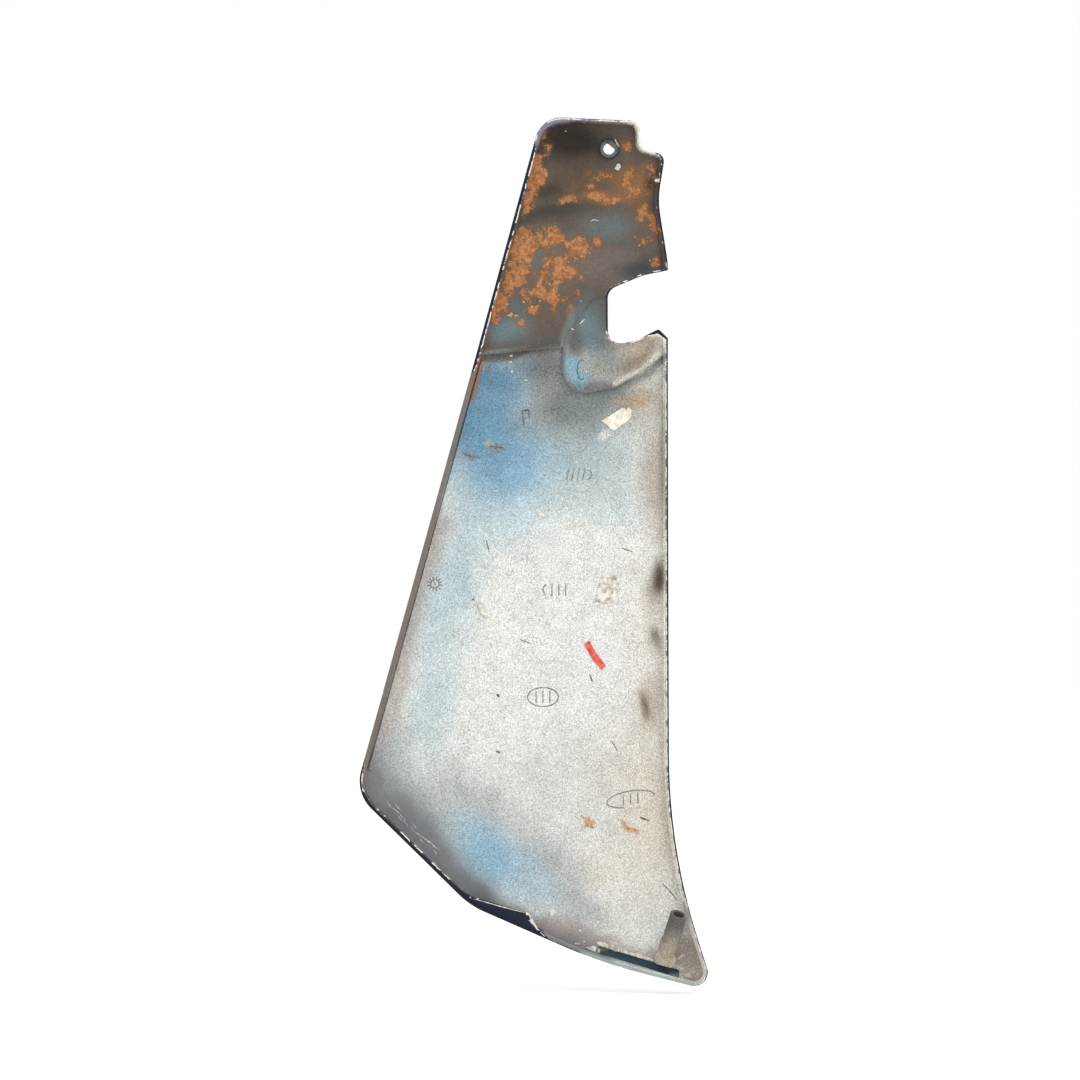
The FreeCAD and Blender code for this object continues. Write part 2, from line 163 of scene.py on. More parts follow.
# Where the paint goes: millimetres across and up, the distance in from the nearest edge of the outline,
# and the depth in from the bowed outer face.
x, z = vertices[:, 0] / MM, vertices[:, 2] / MM
LONG_RADIUS, CROSS_RADIUS, MID_X, MID_Z = 900.0, 350.0, -25.0, -186.0
RIM_WALL_DEPTH = 3.3
RING_STEP = 0.5 * MM


def depth_in(places):
    """How far places lie in from the bowed outer face, in millimetres."""
    px, py, pz = (places[..., axis] / MM for axis in range(3))
    reach = LONG_RADIUS - CROSS_RADIUS + np.sqrt(CROSS_RADIUS ** 2 - (px - MID_X) ** 2)
    return cad_box[1].y / MM - LONG_RADIUS + np.sqrt(reach ** 2 - (pz - MID_Z) ** 2) - py


depth = depth_in(vertices)
outer_walls = outer_walls[depth_in(outer_walls).max(axis=1) > RIM_WALL_DEPTH]
ring = []
for wall in outer_walls:
    for (ax, _, az), (bx, _, bz) in zip(wall, np.roll(wall, -1, axis=0)):
        steps = math.ceil(math.hypot(bx - ax, bz - az) / RING_STEP)
        for step in range(steps):
            ring.append((ax + (bx - ax) * step / steps, 0, az + (bz - az) * step / steps))
edge_tree = KDTree(len(ring))
for index, place in enumerate(ring):
    edge_tree.insert(place, index)
edge_tree.balance()
edge = np.array([edge_tree.find((px, 0, pz))[2] for px, _, pz in vertices]) / MM

# Paint laid on the hollow side as soft spots and streaks of a few colours: silver overspray in the middle,
# # blue on the left, bare grey along the bottom with painted shade at its rounded edge, and on the top tab a
# dark
# # coat, partly dirt and partly painted shade, with rust-brown scale. Painted shade, highlights and a painted
# sky
# # reflection also lie at steps, creases, ridges and the rim.
# Edges of the paint wander by a slow and a quick sway, in millimetres.
SLOW_SWAY, QUICK_SWAY, SWIRL = 1.4, 0.6, 0.8
slow_x = np.sin(z / 11.3 + 1.3 + SWIRL * np.sin(x / 8.7))
slow_z = np.sin(x / 9.7 + 0.4 + SWIRL * np.sin(z / 7.9))
quick_x = np.sin((x + 0.7 * z) / 3.7 + np.sin(z / 5.9))
quick_z = np.sin((0.6 * x - z) / 3.3 + np.sin(x / 6.7))
wander_x = x + SLOW_SWAY * slow_x + QUICK_SWAY * quick_x
wander_z = z + SLOW_SWAY * slow_z + QUICK_SWAY * quick_z
SOFT_SHARE = 0.85


def linear(*levels):
    """A colour given in display levels, as the linear values that a shader takes."""
    return np.array([(c / 255 / 12.92) if c <= 10 else ((c / 255 + 0.055) / 1.055) ** 2.4 for c in levels])


def smooth(t):
    """A soft step from 0 to 1."""
    t = np.clip(t, 0, 1)
    return t * t * (3 - 2 * t)


# Places of paint and marks are read off the photograph in its pixels, from the screw hole's pixel.
# PIXEL is the size of one in millimetres.
HOLE_PIXEL_X, HOLE_PIXEL_Y = 609, 149
PIXEL = 0.464


def on_cover(px, py):
    """The place on the cover, in millimetres across and up from the screw hole, that a photo pixel shows."""
    return (px - HOLE_PIXEL_X) * PIXEL, (HOLE_PIXEL_Y - py) * PIXEL


def spot(px, py, across, along, turn):
    """A soft ellipse in photo pixels, 1 in its middle and 0 at its rim, turned anticlockwise."""
    at_x, at_z = on_cover(px, py)
    c, s = math.cos(math.radians(turn)), math.sin(math.radians(turn))
    u = ((wander_x - at_x) * c + (wander_z - at_z) * s) / (across * PIXEL)
    v = ((wander_z - at_z) * c - (wander_x - at_x) * s) / (along * PIXEL)
    return smooth((1 - np.hypot(u, v)) / SOFT_SHARE)


def from_line(line, loose):
    """The distance from a line of points. A loose line wanders like brushed paint."""
    px, pz = x + (wander_x - x) * loose, z + (wander_z - z) * loose
    nearest = np.full(len(x), 1e9)
    for (ax, az), (bx, bz) in zip(line, line[1:]):
        dx, dz = bx - ax, bz - az
        t = np.clip(((px - ax) * dx + (pz - az) * dz) / (dx * dx + dz * dz), 0, 1)
        nearest = np.minimum(nearest, np.hypot(px - ax - t * dx, pz - az - t * dz))
    return nearest


def streak(line, width, loose=1.0):
    """A soft band along a line of points, 1 on the line and 0 at its width."""
    return smooth((1 - from_line(line, loose) / width) / SOFT_SHARE)


PAINT_LEVELS = {
    "silver": (231, 233, 227),
    "cream silver": (232, 227, 215),
    "warm silver": (222, 214, 200),
    "stone": (213, 215, 208),
    "silver blue": (180, 198, 206),
    "pale blue": (193, 210, 214),
    "haze": (176, 190, 192),
    "sky": (150, 185, 204),
    "blue": (116, 157, 181),
    "deep blue": (102, 142, 166),
    "ash": (128, 136, 136),
    "slate": (181, 186, 184),
    "slate grey": (150, 158, 162),
    "smoke": (119, 119, 117),
    "khaki": (176, 165, 147),
    "tan": (186, 173, 156),
    "taupe": (174, 160, 152),
    "drab": (188, 179, 166),
    "steel": (121, 125, 129),
    "earth": (112, 92, 74),
    "shade": (88, 82, 78),
    "soot": (88, 72, 62),
    "mocha": (140, 126, 110),
    "umber": (103, 93, 84),
    "brown": (88, 71, 56),
    "tan brown": (128, 108, 92),
    "dirt": (48, 40, 34),
    "night": (70, 69, 72),
    "soot green": (72, 68, 61),
    "slate brown": (93, 92, 89),
    "teal": (103, 112, 110),
    "teal blue": (112, 128, 132),
    "pad grey": (152, 156, 149),
    "pad blue": (138, 178, 192),
    "violet grey": (117, 110, 104),
    "collar": (104, 116, 124),
    "void": (62, 88, 100),
    "peg": (104, 102, 97),
    "rim grey": (124, 115, 108),
    "rim dark": (74, 66, 60),
    "rim lilac sky reflection": (138, 138, 152),
    "rim teal sky reflection": (158, 176, 174),
    "rim olive": (146, 134, 118),
    "rust": (168, 116, 76),
    "rust haze": (118, 86, 60),
    "sand": (176, 152, 120),
    "worn": (226, 220, 208),
}
PAINT = {name: linear(*levels) for name, levels in PAINT_LEVELS.items()}
# Each spot of field, tab and pad: its colour, middle pixel, half width, half height, turn and strength.
FIELD_SPOTS = [
    ("cream silver", 655, 610, 50, 130, 0, 0.85),
    ("stone", 570, 800, 150, 95, 0, 0.75),
    ("warm silver", 655, 810, 90, 190, 0, 0.85),
    ("pale blue", 450, 590, 48, 140, -15, 0.95),
    ("pale blue", 430, 715, 44, 80, -10, 0.85),
    ("pale blue", 500, 505, 95, 62, 10, 0.95),
    ("silver blue", 468, 588, 24, 30, 0, 0.5),
    ("silver blue", 480, 500, 45, 34, 10, 0.7),
    ("pale blue", 600, 505, 70, 34, 0, 0.6),
    ("haze", 585, 455, 95, 74, 0, 0.95),
    ("sky", 512, 468, 82, 50, 12, 1),
    ("blue", 486, 425, 86, 86, -12, 1),
    ("ash", 575, 405, 88, 56, 8, 1),
    ("smoke", 540, 364, 62, 32, 0, 0.95),
    ("smoke", 552, 384, 40, 34, 0, 0.5),
    ("deep blue", 490, 376, 58, 42, 0, 0.95),
    ("ash", 495, 444, 12, 5, -12, 0.8),
    ("slate", 490, 441, 6, 4, 0, 0.8),
    ("ash", 471, 454, 12, 6, -12, 0.75),
    ("ash", 600, 396, 60, 24, 12, 0.9),
    ("khaki", 648, 400, 36, 54, 0, 0.65),
    ("tan", 657, 480, 26, 85, 0, 0.8),
    ("tan", 648, 705, 26, 46, 0, 0.6),
    ("khaki", 662, 815, 26, 85, 0, 0.22),
    ("mocha", 655, 588, 17, 36, 0, 0.5),
    ("soot", 660, 578, 13, 24, 4, 0.95),
    ("mocha", 656, 640, 14, 34, 0, 0.4),
    ("soot", 658, 636, 8, 20, 0, 0.6),
    ("tan", 648, 702, 15, 36, 4, 0.4),
    ("soot", 643, 704, 8, 20, 8, 0.65),
    ("warm silver", 600, 872, 44, 32, 0, 0.6),
    ("slate", 398, 742, 32, 30, 0, 0.7),
    ("slate", 470, 808, 95, 52, -35, 0.9),
    ("slate", 550, 872, 80, 44, -42, 0.95),
    ("slate", 585, 912, 52, 28, -25, 0.8),
    ("pale blue", 492, 838, 40, 16, -30, 0.5),
    ("sky", 490, 857, 84, 44, -36, 1),
    ("silver blue", 534, 888, 48, 28, -30, 0.85),
    ("slate", 565, 925, 50, 16, -22, 0.8),
    # The next two drab spots are painted shade, in the tip's inner corner and above the groove.
    ("drab", 688, 960, 34, 40, 0, 1),
    ("drab", 640, 960, 50, 14, -15, 0.75),
    ("cream silver", 688, 932, 9, 13, 0, 0.9),
]
# The dark spots of the tab are partly dirt and partly painted shade.
TAB_SPOTS = [
    ("dirt", 575, 143, 66, 40, 0, 1),
    ("brown", 590, 180, 70, 26, 6, 0.8),
    ("rust haze", 612, 182, 60, 20, 8, 0.55),
    ("rust haze", 640, 200, 24, 40, 0, 0.6),
    ("rust", 635, 182, 32, 24, 15, 0.6),
    ("rust", 592, 199, 60, 8, 8, 0.5),
    ("soot green", 552, 212, 62, 17, 8, 1),
    ("dirt", 545, 190, 24, 15, 0, 0.6),
    ("teal", 606, 224, 40, 21, 8, 1),
    ("violet grey", 606, 262, 52, 28, 0, 0.8),
    ("night", 640, 264, 36, 15, 15, 1),
    ("night", 656, 207, 11, 18, 0, 0.5),
    ("tan brown", 555, 262, 60, 40, 0, 0.7),
    ("teal", 536, 258, 12, 22, 0, 0.8),
    ("teal", 520, 306, 26, 30, 0, 0.7),
    ("teal blue", 506, 328, 36, 22, 0, 1),
    ("slate brown", 590, 318, 30, 40, -15, 0.9),
    ("slate brown", 545, 345, 60, 16, 5, 0.75),
    # Painted shade in the hollow of the small nub near the right edge.
    ("dirt", 653, 180, 10, 9, 0, 0.9),
]
PAD_SPOTS = [
    ("smoke", 602, 340, 34, 24, 0, 1),
    ("mocha", 640, 346, 50, 26, 28, 0.95),
    ("pad grey", 602, 366, 34, 26, 0, 1),
    ("ash", 606, 352, 26, 16, 0, 0.7),
    ("teal blue", 586, 330, 24, 40, -12, 1),
    # Painted shade in the crease along the pad's left edge.
    ("slate brown", 572, 346, 13, 24, 0, 0.85),
    ("mocha", 630, 362, 28, 11, 28, 0.7),
    ("tan", 636, 346, 30, 9, 20, 0.8),
    ("silver", 608, 431, 14, 7, 35, 0.75),
    ("sand", 632, 398, 30, 10, 10, 0.7),
]
# Each streak: its colour, pixels along it, width in pixels and strength.
STREAKS = [
    ("taupe", [(438, 525), (424, 580), (402, 660), (384, 725), (374, 770)], 18, 0.6),
    ("slate grey", [(380, 755), (408, 796), (432, 832)], 32, 0.6),
    # Steel along the bottom-left edge is bare grey plastic, darkened further as painted shade where the edge
    # rounds away.
    ("steel", [(366, 785), (398, 820)], 46, 0.9),
    ("steel", [(398, 820), (438, 860), (480, 896)], 33, 0.95),
    ("steel", [(480, 896), (520, 922), (560, 940), (600, 952)], 20, 0.9),
    # A painted shadow under the step of the top tab.
    ("shade", [(478, 355), (520, 350), (560, 346)], 8, 0.85),
    # A painted shadow along the foot of the pad's lower ridge.
    ("smoke", [(590, 392), (628, 379), (670, 353)], 10, 0.8),
    # A painted shadow line along the pad's left outline.
    ("ash", [(572, 312), (564, 340), (560, 364), (566, 380), (580, 390)], 6, 0.7),
    ("pad blue", [(570, 364), (573, 376), (580, 382)], 11, 0.9),
    # A painted highlight along the top of the pad's lower ridge.
    ("warm silver", [(612, 382), (630, 372), (650, 359), (669, 346)], 5, 0.75),
    ("umber", [(665, 350), (669, 430), (668, 560)], 8, 0.45),
    # Painted shade darkens the field above the groove, where the surface curves down towards it.
    ("taupe", [(548, 924), (585, 938), (610, 944), (640, 951), (680, 963)], 15, 0.6),
]
# Rust spots are like the others without a colour. A strength below 0 wears rust away.
RUST_SPOTS = [
    (548, 144, 14, 18, -10, 0.4), (537, 174, 17, 38, -12, 1), (527, 200, 9, 26, -12, 0.85),
    (600, 184, 64, 20, 5, 0.2), (598, 198, 46, 8, 8, 0.62), (636, 182, 26, 26, 10, 0.66),
    (574, 201, 36, 9, 10, 0.55), (632, 140, 12, 16, 0, 0.34), (648, 165, 18, 16, 0, 0.46),
    (655, 226, 14, 22, 5, 0.9), (640, 208, 14, 14, 0, 0.7), (640, 238, 16, 9, 0, 0.45),
    (656, 258, 12, 7, 0, 0.5), (521, 248, 22, 27, -10, 1.1), (550, 240, 24, 19, 0, 1),
    (575, 248, 32, 22, 0, 0.62), (592, 246, 24, 16, 0, 0.66), (516, 275, 16, 34, -15, 0.95),
    (503, 298, 13, 32, -15, 0.92), (545, 278, 36, 28, 0, 0.66), (566, 270, 30, 28, 0, 0.68),
    (536, 292, 26, 17, 0, 0.52), (556, 300, 38, 26, 0, 0.45), (538, 310, 18, 12, 0, 0.55),
    (524, 322, 8, 7, 0, 0.7), (484, 362, 4, 14, -14, 0.45), (536, 257, 10, 20, 0, -0.75),
    (521, 296, 9, 14, 0, -0.7),
]
# Each part of the rim's end face, in millimetres: its line, how far the bare navy edge comes in, how worn the
# pale line beside it is, how wide the clean band is, and its colour.
RIM_PARTS = [
    ([(-61.7, -98.8), (-112.8, -288.1)], 0.0, 0.0, 2.6, "rim grey"),
    ([(-31.5, 9.7), (-61.7, -98.8)], 1.3, 0.55, 2.0, "rim dark"),
    # The lilac bands at the top-left corner are a painted sky reflection on the glossy rim.
    ([(-33.0, 5.0), (-31.5, 9.7), (-22.7, 13.9)], 0.15, 0.5, 2.4, "rim lilac sky reflection"),
    ([(-22.7, 13.9), (10.7, 12.5)], 0.3, 0.6, 1.3, "rim lilac sky reflection"),
    ([(10.7, 12.5), (13.5, 6.5), (14.4, 3.2), (19.0, -0.5), (24.1, -1.9)], 0.1, 0.8, 1.3, "worn"),
    ([(25.5, -5.1), (23.2, -23.7), (26.0, -53.8)], 0.8, 0.25, 2.6, "rim dark"),
    ([(26.0, -56.1), (1.4, -64.5)], 0.4, 0.45, 2.6, None),
    ([(0.5, -68.0), (0.5, -87.0)], 0.9, 0.0, 2.6, None),
    ([(1.4, -87.7), (22.7, -84.0)], 0.1, 0.6, 2.6, None),
    ([(23.0, -84.0), (28.8, -89.1)], 1.6, 0.9, 2.6, "worn"),
    ([(28.8, -89.1), (27.4, -292.8), (37.6, -348.5)], 0.75, 0.55, 1.6, "rim olive"),
    ([(37.6, -348.5), (45.5, -381.0), (37.6, -386.5)], 0.45, 0.45, 2.6, "drab"),
    # The pale teal band along the bottom rim is a painted sky reflection on the glossy rim.
    ([(37.6, -386.5), (-16.0, -370.3)], 0.0, 0.1, 1.7, "rim teal sky reflection"),
    ([(-16.0, -370.3), (-29.7, -366.1)], 0.4, 0.1, 1.7, "rim grey"),
    ([(-60.8, -349.9), (-114.1, -295.1)], 1.9, 0.45, 2.6, "rim dark"),
    ([(-114.1, -295.1), (-112.8, -288.1)], 0.8, 0.6, 2.6, "rim grey"),
    ([(-62.0, -348.5), (-34.0, -364.0)], 3.5, 0.0, 2.6, None),
    ([(-65.0, -345.0), (-58.0, -350.0)], 2.4, 0.0, 2.6, None),
]
coat = np.tile(PAINT["silver"], (len(x), 1))


def lay(colour, weight):
    """Cover the coat with one colour, as thickly as the weight says at each place."""
    coat[:] += (PAINT[colour] - coat) * np.asarray(weight)[:, None]


def lay_spots(spots):
    """Lay soft spots of paint one after another."""
    for colour, *shape, strength in spots:
        lay(colour, strength * spot(*shape))


TAB_FOOT, TAB_SLOPE, TAB_FADE, TAB_LOOSE = -87.5, 0.137, 3.0, 0.3
GRAIN_LOST_ON_STEEL, GRAIN_LOST_ON_TAB = 0.7, 0.55
grain = np.ones(len(x))
lay_spots(FIELD_SPOTS)
# The whole top tab is laid umber, partly as dirt and partly as painted shade where the tab faces down.
tab = smooth((wander_z * TAB_LOOSE + z * (1 - TAB_LOOSE) - TAB_FOOT - TAB_SLOPE * x) / TAB_FADE)
lay("umber", tab)
lay_spots(TAB_SPOTS + PAD_SPOTS)
for colour, line, width, strength in STREAKS:
    weight = strength * streak([on_cover(*place) for place in line], width * PIXEL)
    lay(colour, weight)
    if colour == "steel":
        grain *= 1 - GRAIN_LOST_ON_STEEL * weight
grain *= 1 - GRAIN_LOST_ON_TAB * tab
rust = np.zeros(len(x))
for *shape, strength in RUST_SPOTS:
    flecks = strength * spot(*shape)
    rust = np.maximum(rust, flecks) if strength > 0 else rust * (1 + flecks)
# The groove is dark and tapers at both ends, and its left end more.
GROOVE = [(-5.0, -371.6), (32.5, -382.4)]
GROOVE_REACH, GROOVE_DEPTH = 2.2, 1.9
TAPER_SLOPE, LEFT_TAPER, RIGHT_TAPER, TAPER_FADE = 0.5, 1.2, 0.6, 0.8
(groove_left, groove_top), (groove_right, groove_foot) = GROOVE
groove_run = math.dist(*GROOVE)
groove_x = (groove_right - groove_left) / groove_run
groove_z = (groove_foot - groove_top) / groove_run
along_groove = (x - groove_left) * groove_x + (z - groove_top) * groove_z
above_groove = (z - groove_top) * groove_x - (x - groove_left) * groove_z
in_groove = 1.0 * ((from_line(GROOVE, 0) < GROOVE_REACH) & (depth < GROOVE_DEPTH))
lay("rim olive", in_groove)
left_taper = TAPER_SLOPE * along_groove - above_groove - LEFT_TAPER
right_taper = TAPER_SLOPE * (groove_run - along_groove) + above_groove - RIGHT_TAPER
tapered = np.minimum(left_taper, right_taper)
lay("void", in_groove * smooth(tapered / TAPER_FADE + 0.5))
# The peg is khaki, laid darker towards its free end as painted shade.
PEG = [(32.1, -354.4), (24.9, -375.3)]
PEG_REACH, PEG_DEPTH = 5.2, 2.8
PEG_SHADE_FOOT, PEG_SHADE_RISE = -372, 14
on_peg = (from_line(PEG, 0) < PEG_REACH) & (depth > PEG_DEPTH)
lay("khaki", 1.0 * on_peg)
lay("peg", on_peg * smooth((z - PEG_SHADE_FOOT) / PEG_SHADE_RISE))
THICK = 0.9
LEFT_BAND = [(-61.5, -98.0), (-113.6, -288.0)]
BAND_REACH, BAND_DEPTH, BAND_EDGE = 1.0, 1.5, 3.1
on_band = (from_line(LEFT_BAND, 0) < BAND_REACH) & (depth > BAND_DEPTH) & (edge < BAND_EDGE)
lay("earth", THICK * on_band)
COLLAR_DIRT, COLLAR_DIRT_FADE = 5.4, 1.0
COLLAR_TOP, COLLAR_TOP_FADE = 4.5, 0.8
from_hole = np.hypot(x, z)
lay("dirt", THICK * smooth((COLLAR_DIRT - from_hole) / COLLAR_DIRT_FADE))
lay("collar", THICK * smooth((COLLAR_TOP - from_hole) / COLLAR_TOP_FADE))
PLAIN_NAVY, PLAIN_PALE = 0.5, 0.3
RIM_FADE, BAND_FADE, RIM_DEPTH = 7.0, 0.3, 3.0
RUST_LOST_ON_RIM, GRAIN_LOST_ON_RIM = 0.6, 0.7
navy_edge = np.full(len(x), PLAIN_NAVY)
pale_line = np.full(len(x), PLAIN_PALE)
for line, navy_width, pale, band, colour in RIM_PARTS:
    near = streak(line, RIM_FADE, 0.0)
    on_rim = smooth((band - edge) / BAND_FADE)
    navy_edge += (navy_width - navy_edge) * near
    pale_line += (pale - pale_line) * near
    if colour:
        lay(colour, THICK * near * on_rim * (depth > RIM_DEPTH))
        rust *= 1 - RUST_LOST_ON_RIM * near * on_rim
        grain *= 1 - GRAIN_LOST_ON_RIM * near * on_rim
RUST_STRIP = [on_cover(482, 358), on_cover(471, 398)]
RUST_STRIP_WIDTH, RUST_STRIP_STRENGTH = 2.2, 0.75
lay("rust", RUST_STRIP_STRENGTH * streak(RUST_STRIP, RUST_STRIP_WIDTH, 0.0))

# Wear on the glossy side: scuffed pale along the top, the corners and the cut ends of the lip.
# Each line in millimetres, with the width and the strength of its wear.
WEAR_LINES = [
    ([(-33.0, 12.0), (-20.0, 14.5), (13.0, 13.5)], 4.0, 0.24),
    ([(12.0, 12.0), (15.0, 1.0)], 4.5, 0.27),
    ([(17.0, -1.0), (26.0, -4.0)], 3.5, 0.27),
    ([(22.0, -83.0), (28.5, -90.0)], 3.0, 0.5),
    ([(-64.0, -347.0), (-58.0, -349.0)], 1.8, 0.5),
    ([(-37.4, -354.2), (-29.6, -367.3)], 1.5, 0.8),
    ([(34.0, -387.0), (42.0, -388.0)], 3.0, 0.5),
    ([(-118.0, -285.0), (-113.0, -305.0)], 3.0, 0.42),
]
WEAR_LOOSE = 0.3
EDGE_CAP = 6
TOWARDS_VIEWER = -0.6
wear = np.zeros(len(x))
for line, width, strength in WEAR_LINES:
    wear = np.maximum(wear, strength * streak(line, width, WEAR_LOOSE))
facing = np.zeros(len(x))
facing[corners[whole][normals[whole][:, :, 1].mean(axis=1) < TOWARDS_VIEWER]] = 1
painted_values = {
    "rust": rust, "grain": grain, "wear": wear, "navy_edge": navy_edge, "pale_line": pale_line,
    "edge": np.where(facing > 0, np.minimum(edge, EDGE_CAP), EDGE_CAP),
}
for name, values in painted_values.items():
    mesh.attributes.new(name, "FLOAT", "POINT").data.foreach_set("value", values)
colours = np.concatenate([coat, np.ones((len(x), 1))], axis=1)
mesh.attributes.new("coat", "FLOAT_COLOR", "POINT").data.foreach_set("color", colours.reshape(-1))


def new_material(name, roughness, specular):
    """A material with its principled shader, ready for nodes."""
    material = bpy.data.materials.new(name)
    material.use_nodes = True
    shader = material.node_tree.nodes["Principled BSDF"]
    shader.inputs["Roughness"].default_value = roughness
    shader.inputs["Specular IOR Level"].default_value = specular
    return material, material.node_tree, shader


def node(tree, kind, inputs=(), **settings):
    """Add one node. A socket or a list of sockets is linked to an input, and any other value is set."""
    made = tree.nodes.new(kind)
    for name, value in settings.items():
        setattr(made, name, value)
    for name, value in dict(inputs).items():
        for one in value if isinstance(value, list) else [value]:
            if isinstance(one, bpy.types.NodeSocket):
                tree.links.new(one, made.inputs[name])
            else:
                made.inputs[name].default_value = one
    return made


def maths(tree, operation, a, b):
    """One sum, product or other operation of two values."""
    return node(tree, "ShaderNodeMath", {0: a, 1: b}, operation=operation).outputs[0]


def texture(tree, scale, detail=2.0, roughness=0.5, stretch=None):
    """Noise over the piece's own coordinates, in features per metre."""
    place = node(tree, "ShaderNodeTexCoord").outputs["Object"]
    if stretch:
        place = node(tree, "ShaderNodeMapping", {"Vector": place, "Scale": stretch}).outputs["Vector"]
    inputs = {"Vector": place, "Scale": scale, "Detail": detail, "Roughness": roughness}
    return node(tree, "ShaderNodeTexNoise", inputs).outputs["Fac"]


def spread(tree, value, low, high, to_low=0.0, to_high=1.0):
    """Map one range of a value onto another, with soft ends."""
    inputs = {"Value": value, "From Min": low, "From Max": high, "To Min": to_low, "To Max": to_high}
    return node(tree, "ShaderNodeMapRange", inputs, interpolation_type="SMOOTHSTEP").outputs["Result"]


def roughened(tree, value, scale, detail, roughness, reach):
    """A value made uneven by noise, which adds up to the reach or takes as much away."""
    noise = texture(tree, scale, detail, roughness)
    return maths(tree, "ADD", value, spread(tree, noise, 0.25, 0.75, -reach, reach))


def attribute(tree, name, output="Fac"):
    """A value painted on the piece's points."""
    return node(tree, "ShaderNodeAttribute", attribute_name=name).outputs[output]


def mixed(tree, factor, a, b):
    """A mix of two colours."""
    return node(tree, "ShaderNodeMix", {0: factor, 6: a, 7: b}, data_type="RGBA").outputs[2]


def rgba(*levels):
    """A display colour as a shader's linear colour with full cover."""
    return (*linear(*levels), 1.0)


# Material of the hollow side: speckled metallic overspray, rust-brown scale where the paint says so,
# and along the rim a bare navy edge with a broken pale line beside it.
LIGHT = 0.77
FINE_SPECKLE, FLAKE_SPECKLE, MOTTLE = 0.17, 0.17, 0.09
STAIN_COVER, RUST_COVER = 0.62, 0.92
PALE_OFFSET = 0.22
BUMP_STRENGTH, BUMP_HEIGHT = 0.25, 0.2 * MM
FINE_BUMP, RUST_BUMP = 0.5, 1.5
COAT_ROUGHNESS, RUST_ROUGHNESS = 0.5, 0.85
inside, tree, shader = new_material("overspray_and_dirt", 0.55, 0.12)
fine = spread(tree, texture(tree, 1150, 2.0, 0.6), 0.3, 0.7, -1.0, 1.0)
flake = spread(tree, texture(tree, 2300, 0.0), 0.35, 0.65, -1.0, 1.0)
fine_part = maths(tree, "MULTIPLY", fine, FINE_SPECKLE)
flake_part = maths(tree, "MULTIPLY", flake, FLAKE_SPECKLE)
speckle = maths(tree, "ADD", fine_part, flake_part)
speckle = maths(tree, "MULTIPLY", speckle, attribute(tree, "grain"))
level = maths(tree, "ADD", roughened(tree, speckle, 110, 6.0, 0.65, MOTTLE), 1.0)
level = maths(tree, "MULTIPLY", level, LIGHT)
coat_colour = attribute(tree, "coat", "Color")
lit = node(tree, "ShaderNodeVectorMath", {0: coat_colour, "Scale": level}, operation="SCALE").outputs[0]
rust_here = attribute(tree, "rust")
ragged = roughened(tree, rust_here, 170, 5.0, 0.6, 0.5)
ragged = maths(tree, "ADD", ragged, spread(tree, texture(tree, 1300, 2.0), 0.3, 0.7, -0.15, 0.15))
flaking = maths(tree, "MULTIPLY", spread(tree, ragged, 0.42, 0.64), spread(tree, rust_here, 0.04, 0.22))
rust_patches = spread(tree, texture(tree, 520, 6.0, 0.7), 0.3, 0.7)
rust_colour = mixed(tree, rust_patches, rgba(128, 82, 48), rgba(190, 134, 90))
stain_spread = spread(tree, maths(tree, "ADD", ragged, 0.12), 0.2, 0.62)
stain = maths(tree, "MULTIPLY", stain_spread, spread(tree, rust_here, 0.02, 0.2))
stained = mixed(tree, maths(tree, "MULTIPLY", stain, STAIN_COVER), lit, rgba(112, 80, 54))
painted = mixed(tree, maths(tree, "MULTIPLY", flaking, RUST_COVER), stained, rust_colour)
inward = roughened(tree, attribute(tree, "edge"), 700, 4.0, 0.6, 0.13)
past_navy = maths(tree, "SUBTRACT", inward, attribute(tree, "navy_edge"))
bare = spread(tree, past_navy, -0.1, 0.12, 1.0, 0.0)
edged = mixed(tree, bare, painted, rgba(22, 28, 44))
beside = maths(tree, "ABSOLUTE", maths(tree, "SUBTRACT", past_navy, PALE_OFFSET), 0.0)
broken = roughened(tree, attribute(tree, "pale_line"), 330, 4.0, 0.6, 0.45)
line_width = spread(tree, beside, 0.12, 0.34, 1.0, 0.0)
worn_line = maths(tree, "MULTIPLY", line_width, spread(tree, broken, 0.4, 0.6))
edged = mixed(tree, worn_line, edged, rgba(226, 220, 206))
tree.links.new(edged, shader.inputs["Base Color"])
fine_bump = maths(tree, "MULTIPLY", fine, FINE_BUMP)
height = maths(tree, "ADD", fine_bump, maths(tree, "MULTIPLY", flaking, RUST_BUMP))
bumps = {"Strength": BUMP_STRENGTH, "Distance": BUMP_HEIGHT, "Height": height}
bump = node(tree, "ShaderNodeBump", bumps)
tree.links.new(bump.outputs["Normal"], shader.inputs["Normal"])
dullness = spread(tree, flaking, 0.0, 1.0, COAT_ROUGHNESS, RUST_ROUGHNESS)
tree.links.new(dullness, shader.inputs["Roughness"])

# Material of the glossy side: dark navy plastic with hairline scratches and pale scuffed edges.
GLOSS, SCUFFED = 0.22, 0.7
outside, tree, shader = new_material("navy_gloss", GLOSS, 0.24)
hairline = spread(tree, texture(tree, 260, 3.0, 0.6, (1.0, 1.0, 0.06)), 0.64, 0.72, 0.0, 0.35)
navy = mixed(tree, texture(tree, 40, 3.0), rgba(11, 20, 32), rgba(18, 30, 48))
scratched = mixed(tree, hairline, navy, rgba(70, 82, 104))
torn = roughened(tree, attribute(tree, "wear"), 420, 6.0, 0.65, 0.4)
scuff = spread(tree, torn, 0.42, 0.56)
scuff_colour = mixed(tree, texture(tree, 700, 3.0), rgba(190, 186, 180), rgba(244, 240, 230))
tree.links.new(mixed(tree, scuff, scratched, scuff_colour), shader.inputs["Base Color"])
tree.links.new(spread(tree, scuff, 0.0, 1.0, GLOSS, SCUFFED), shader.inputs["Roughness"])
mesh.materials.append(inside)
mesh.materials.append(outside)
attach(moulding, "root")
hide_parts("side_cover")

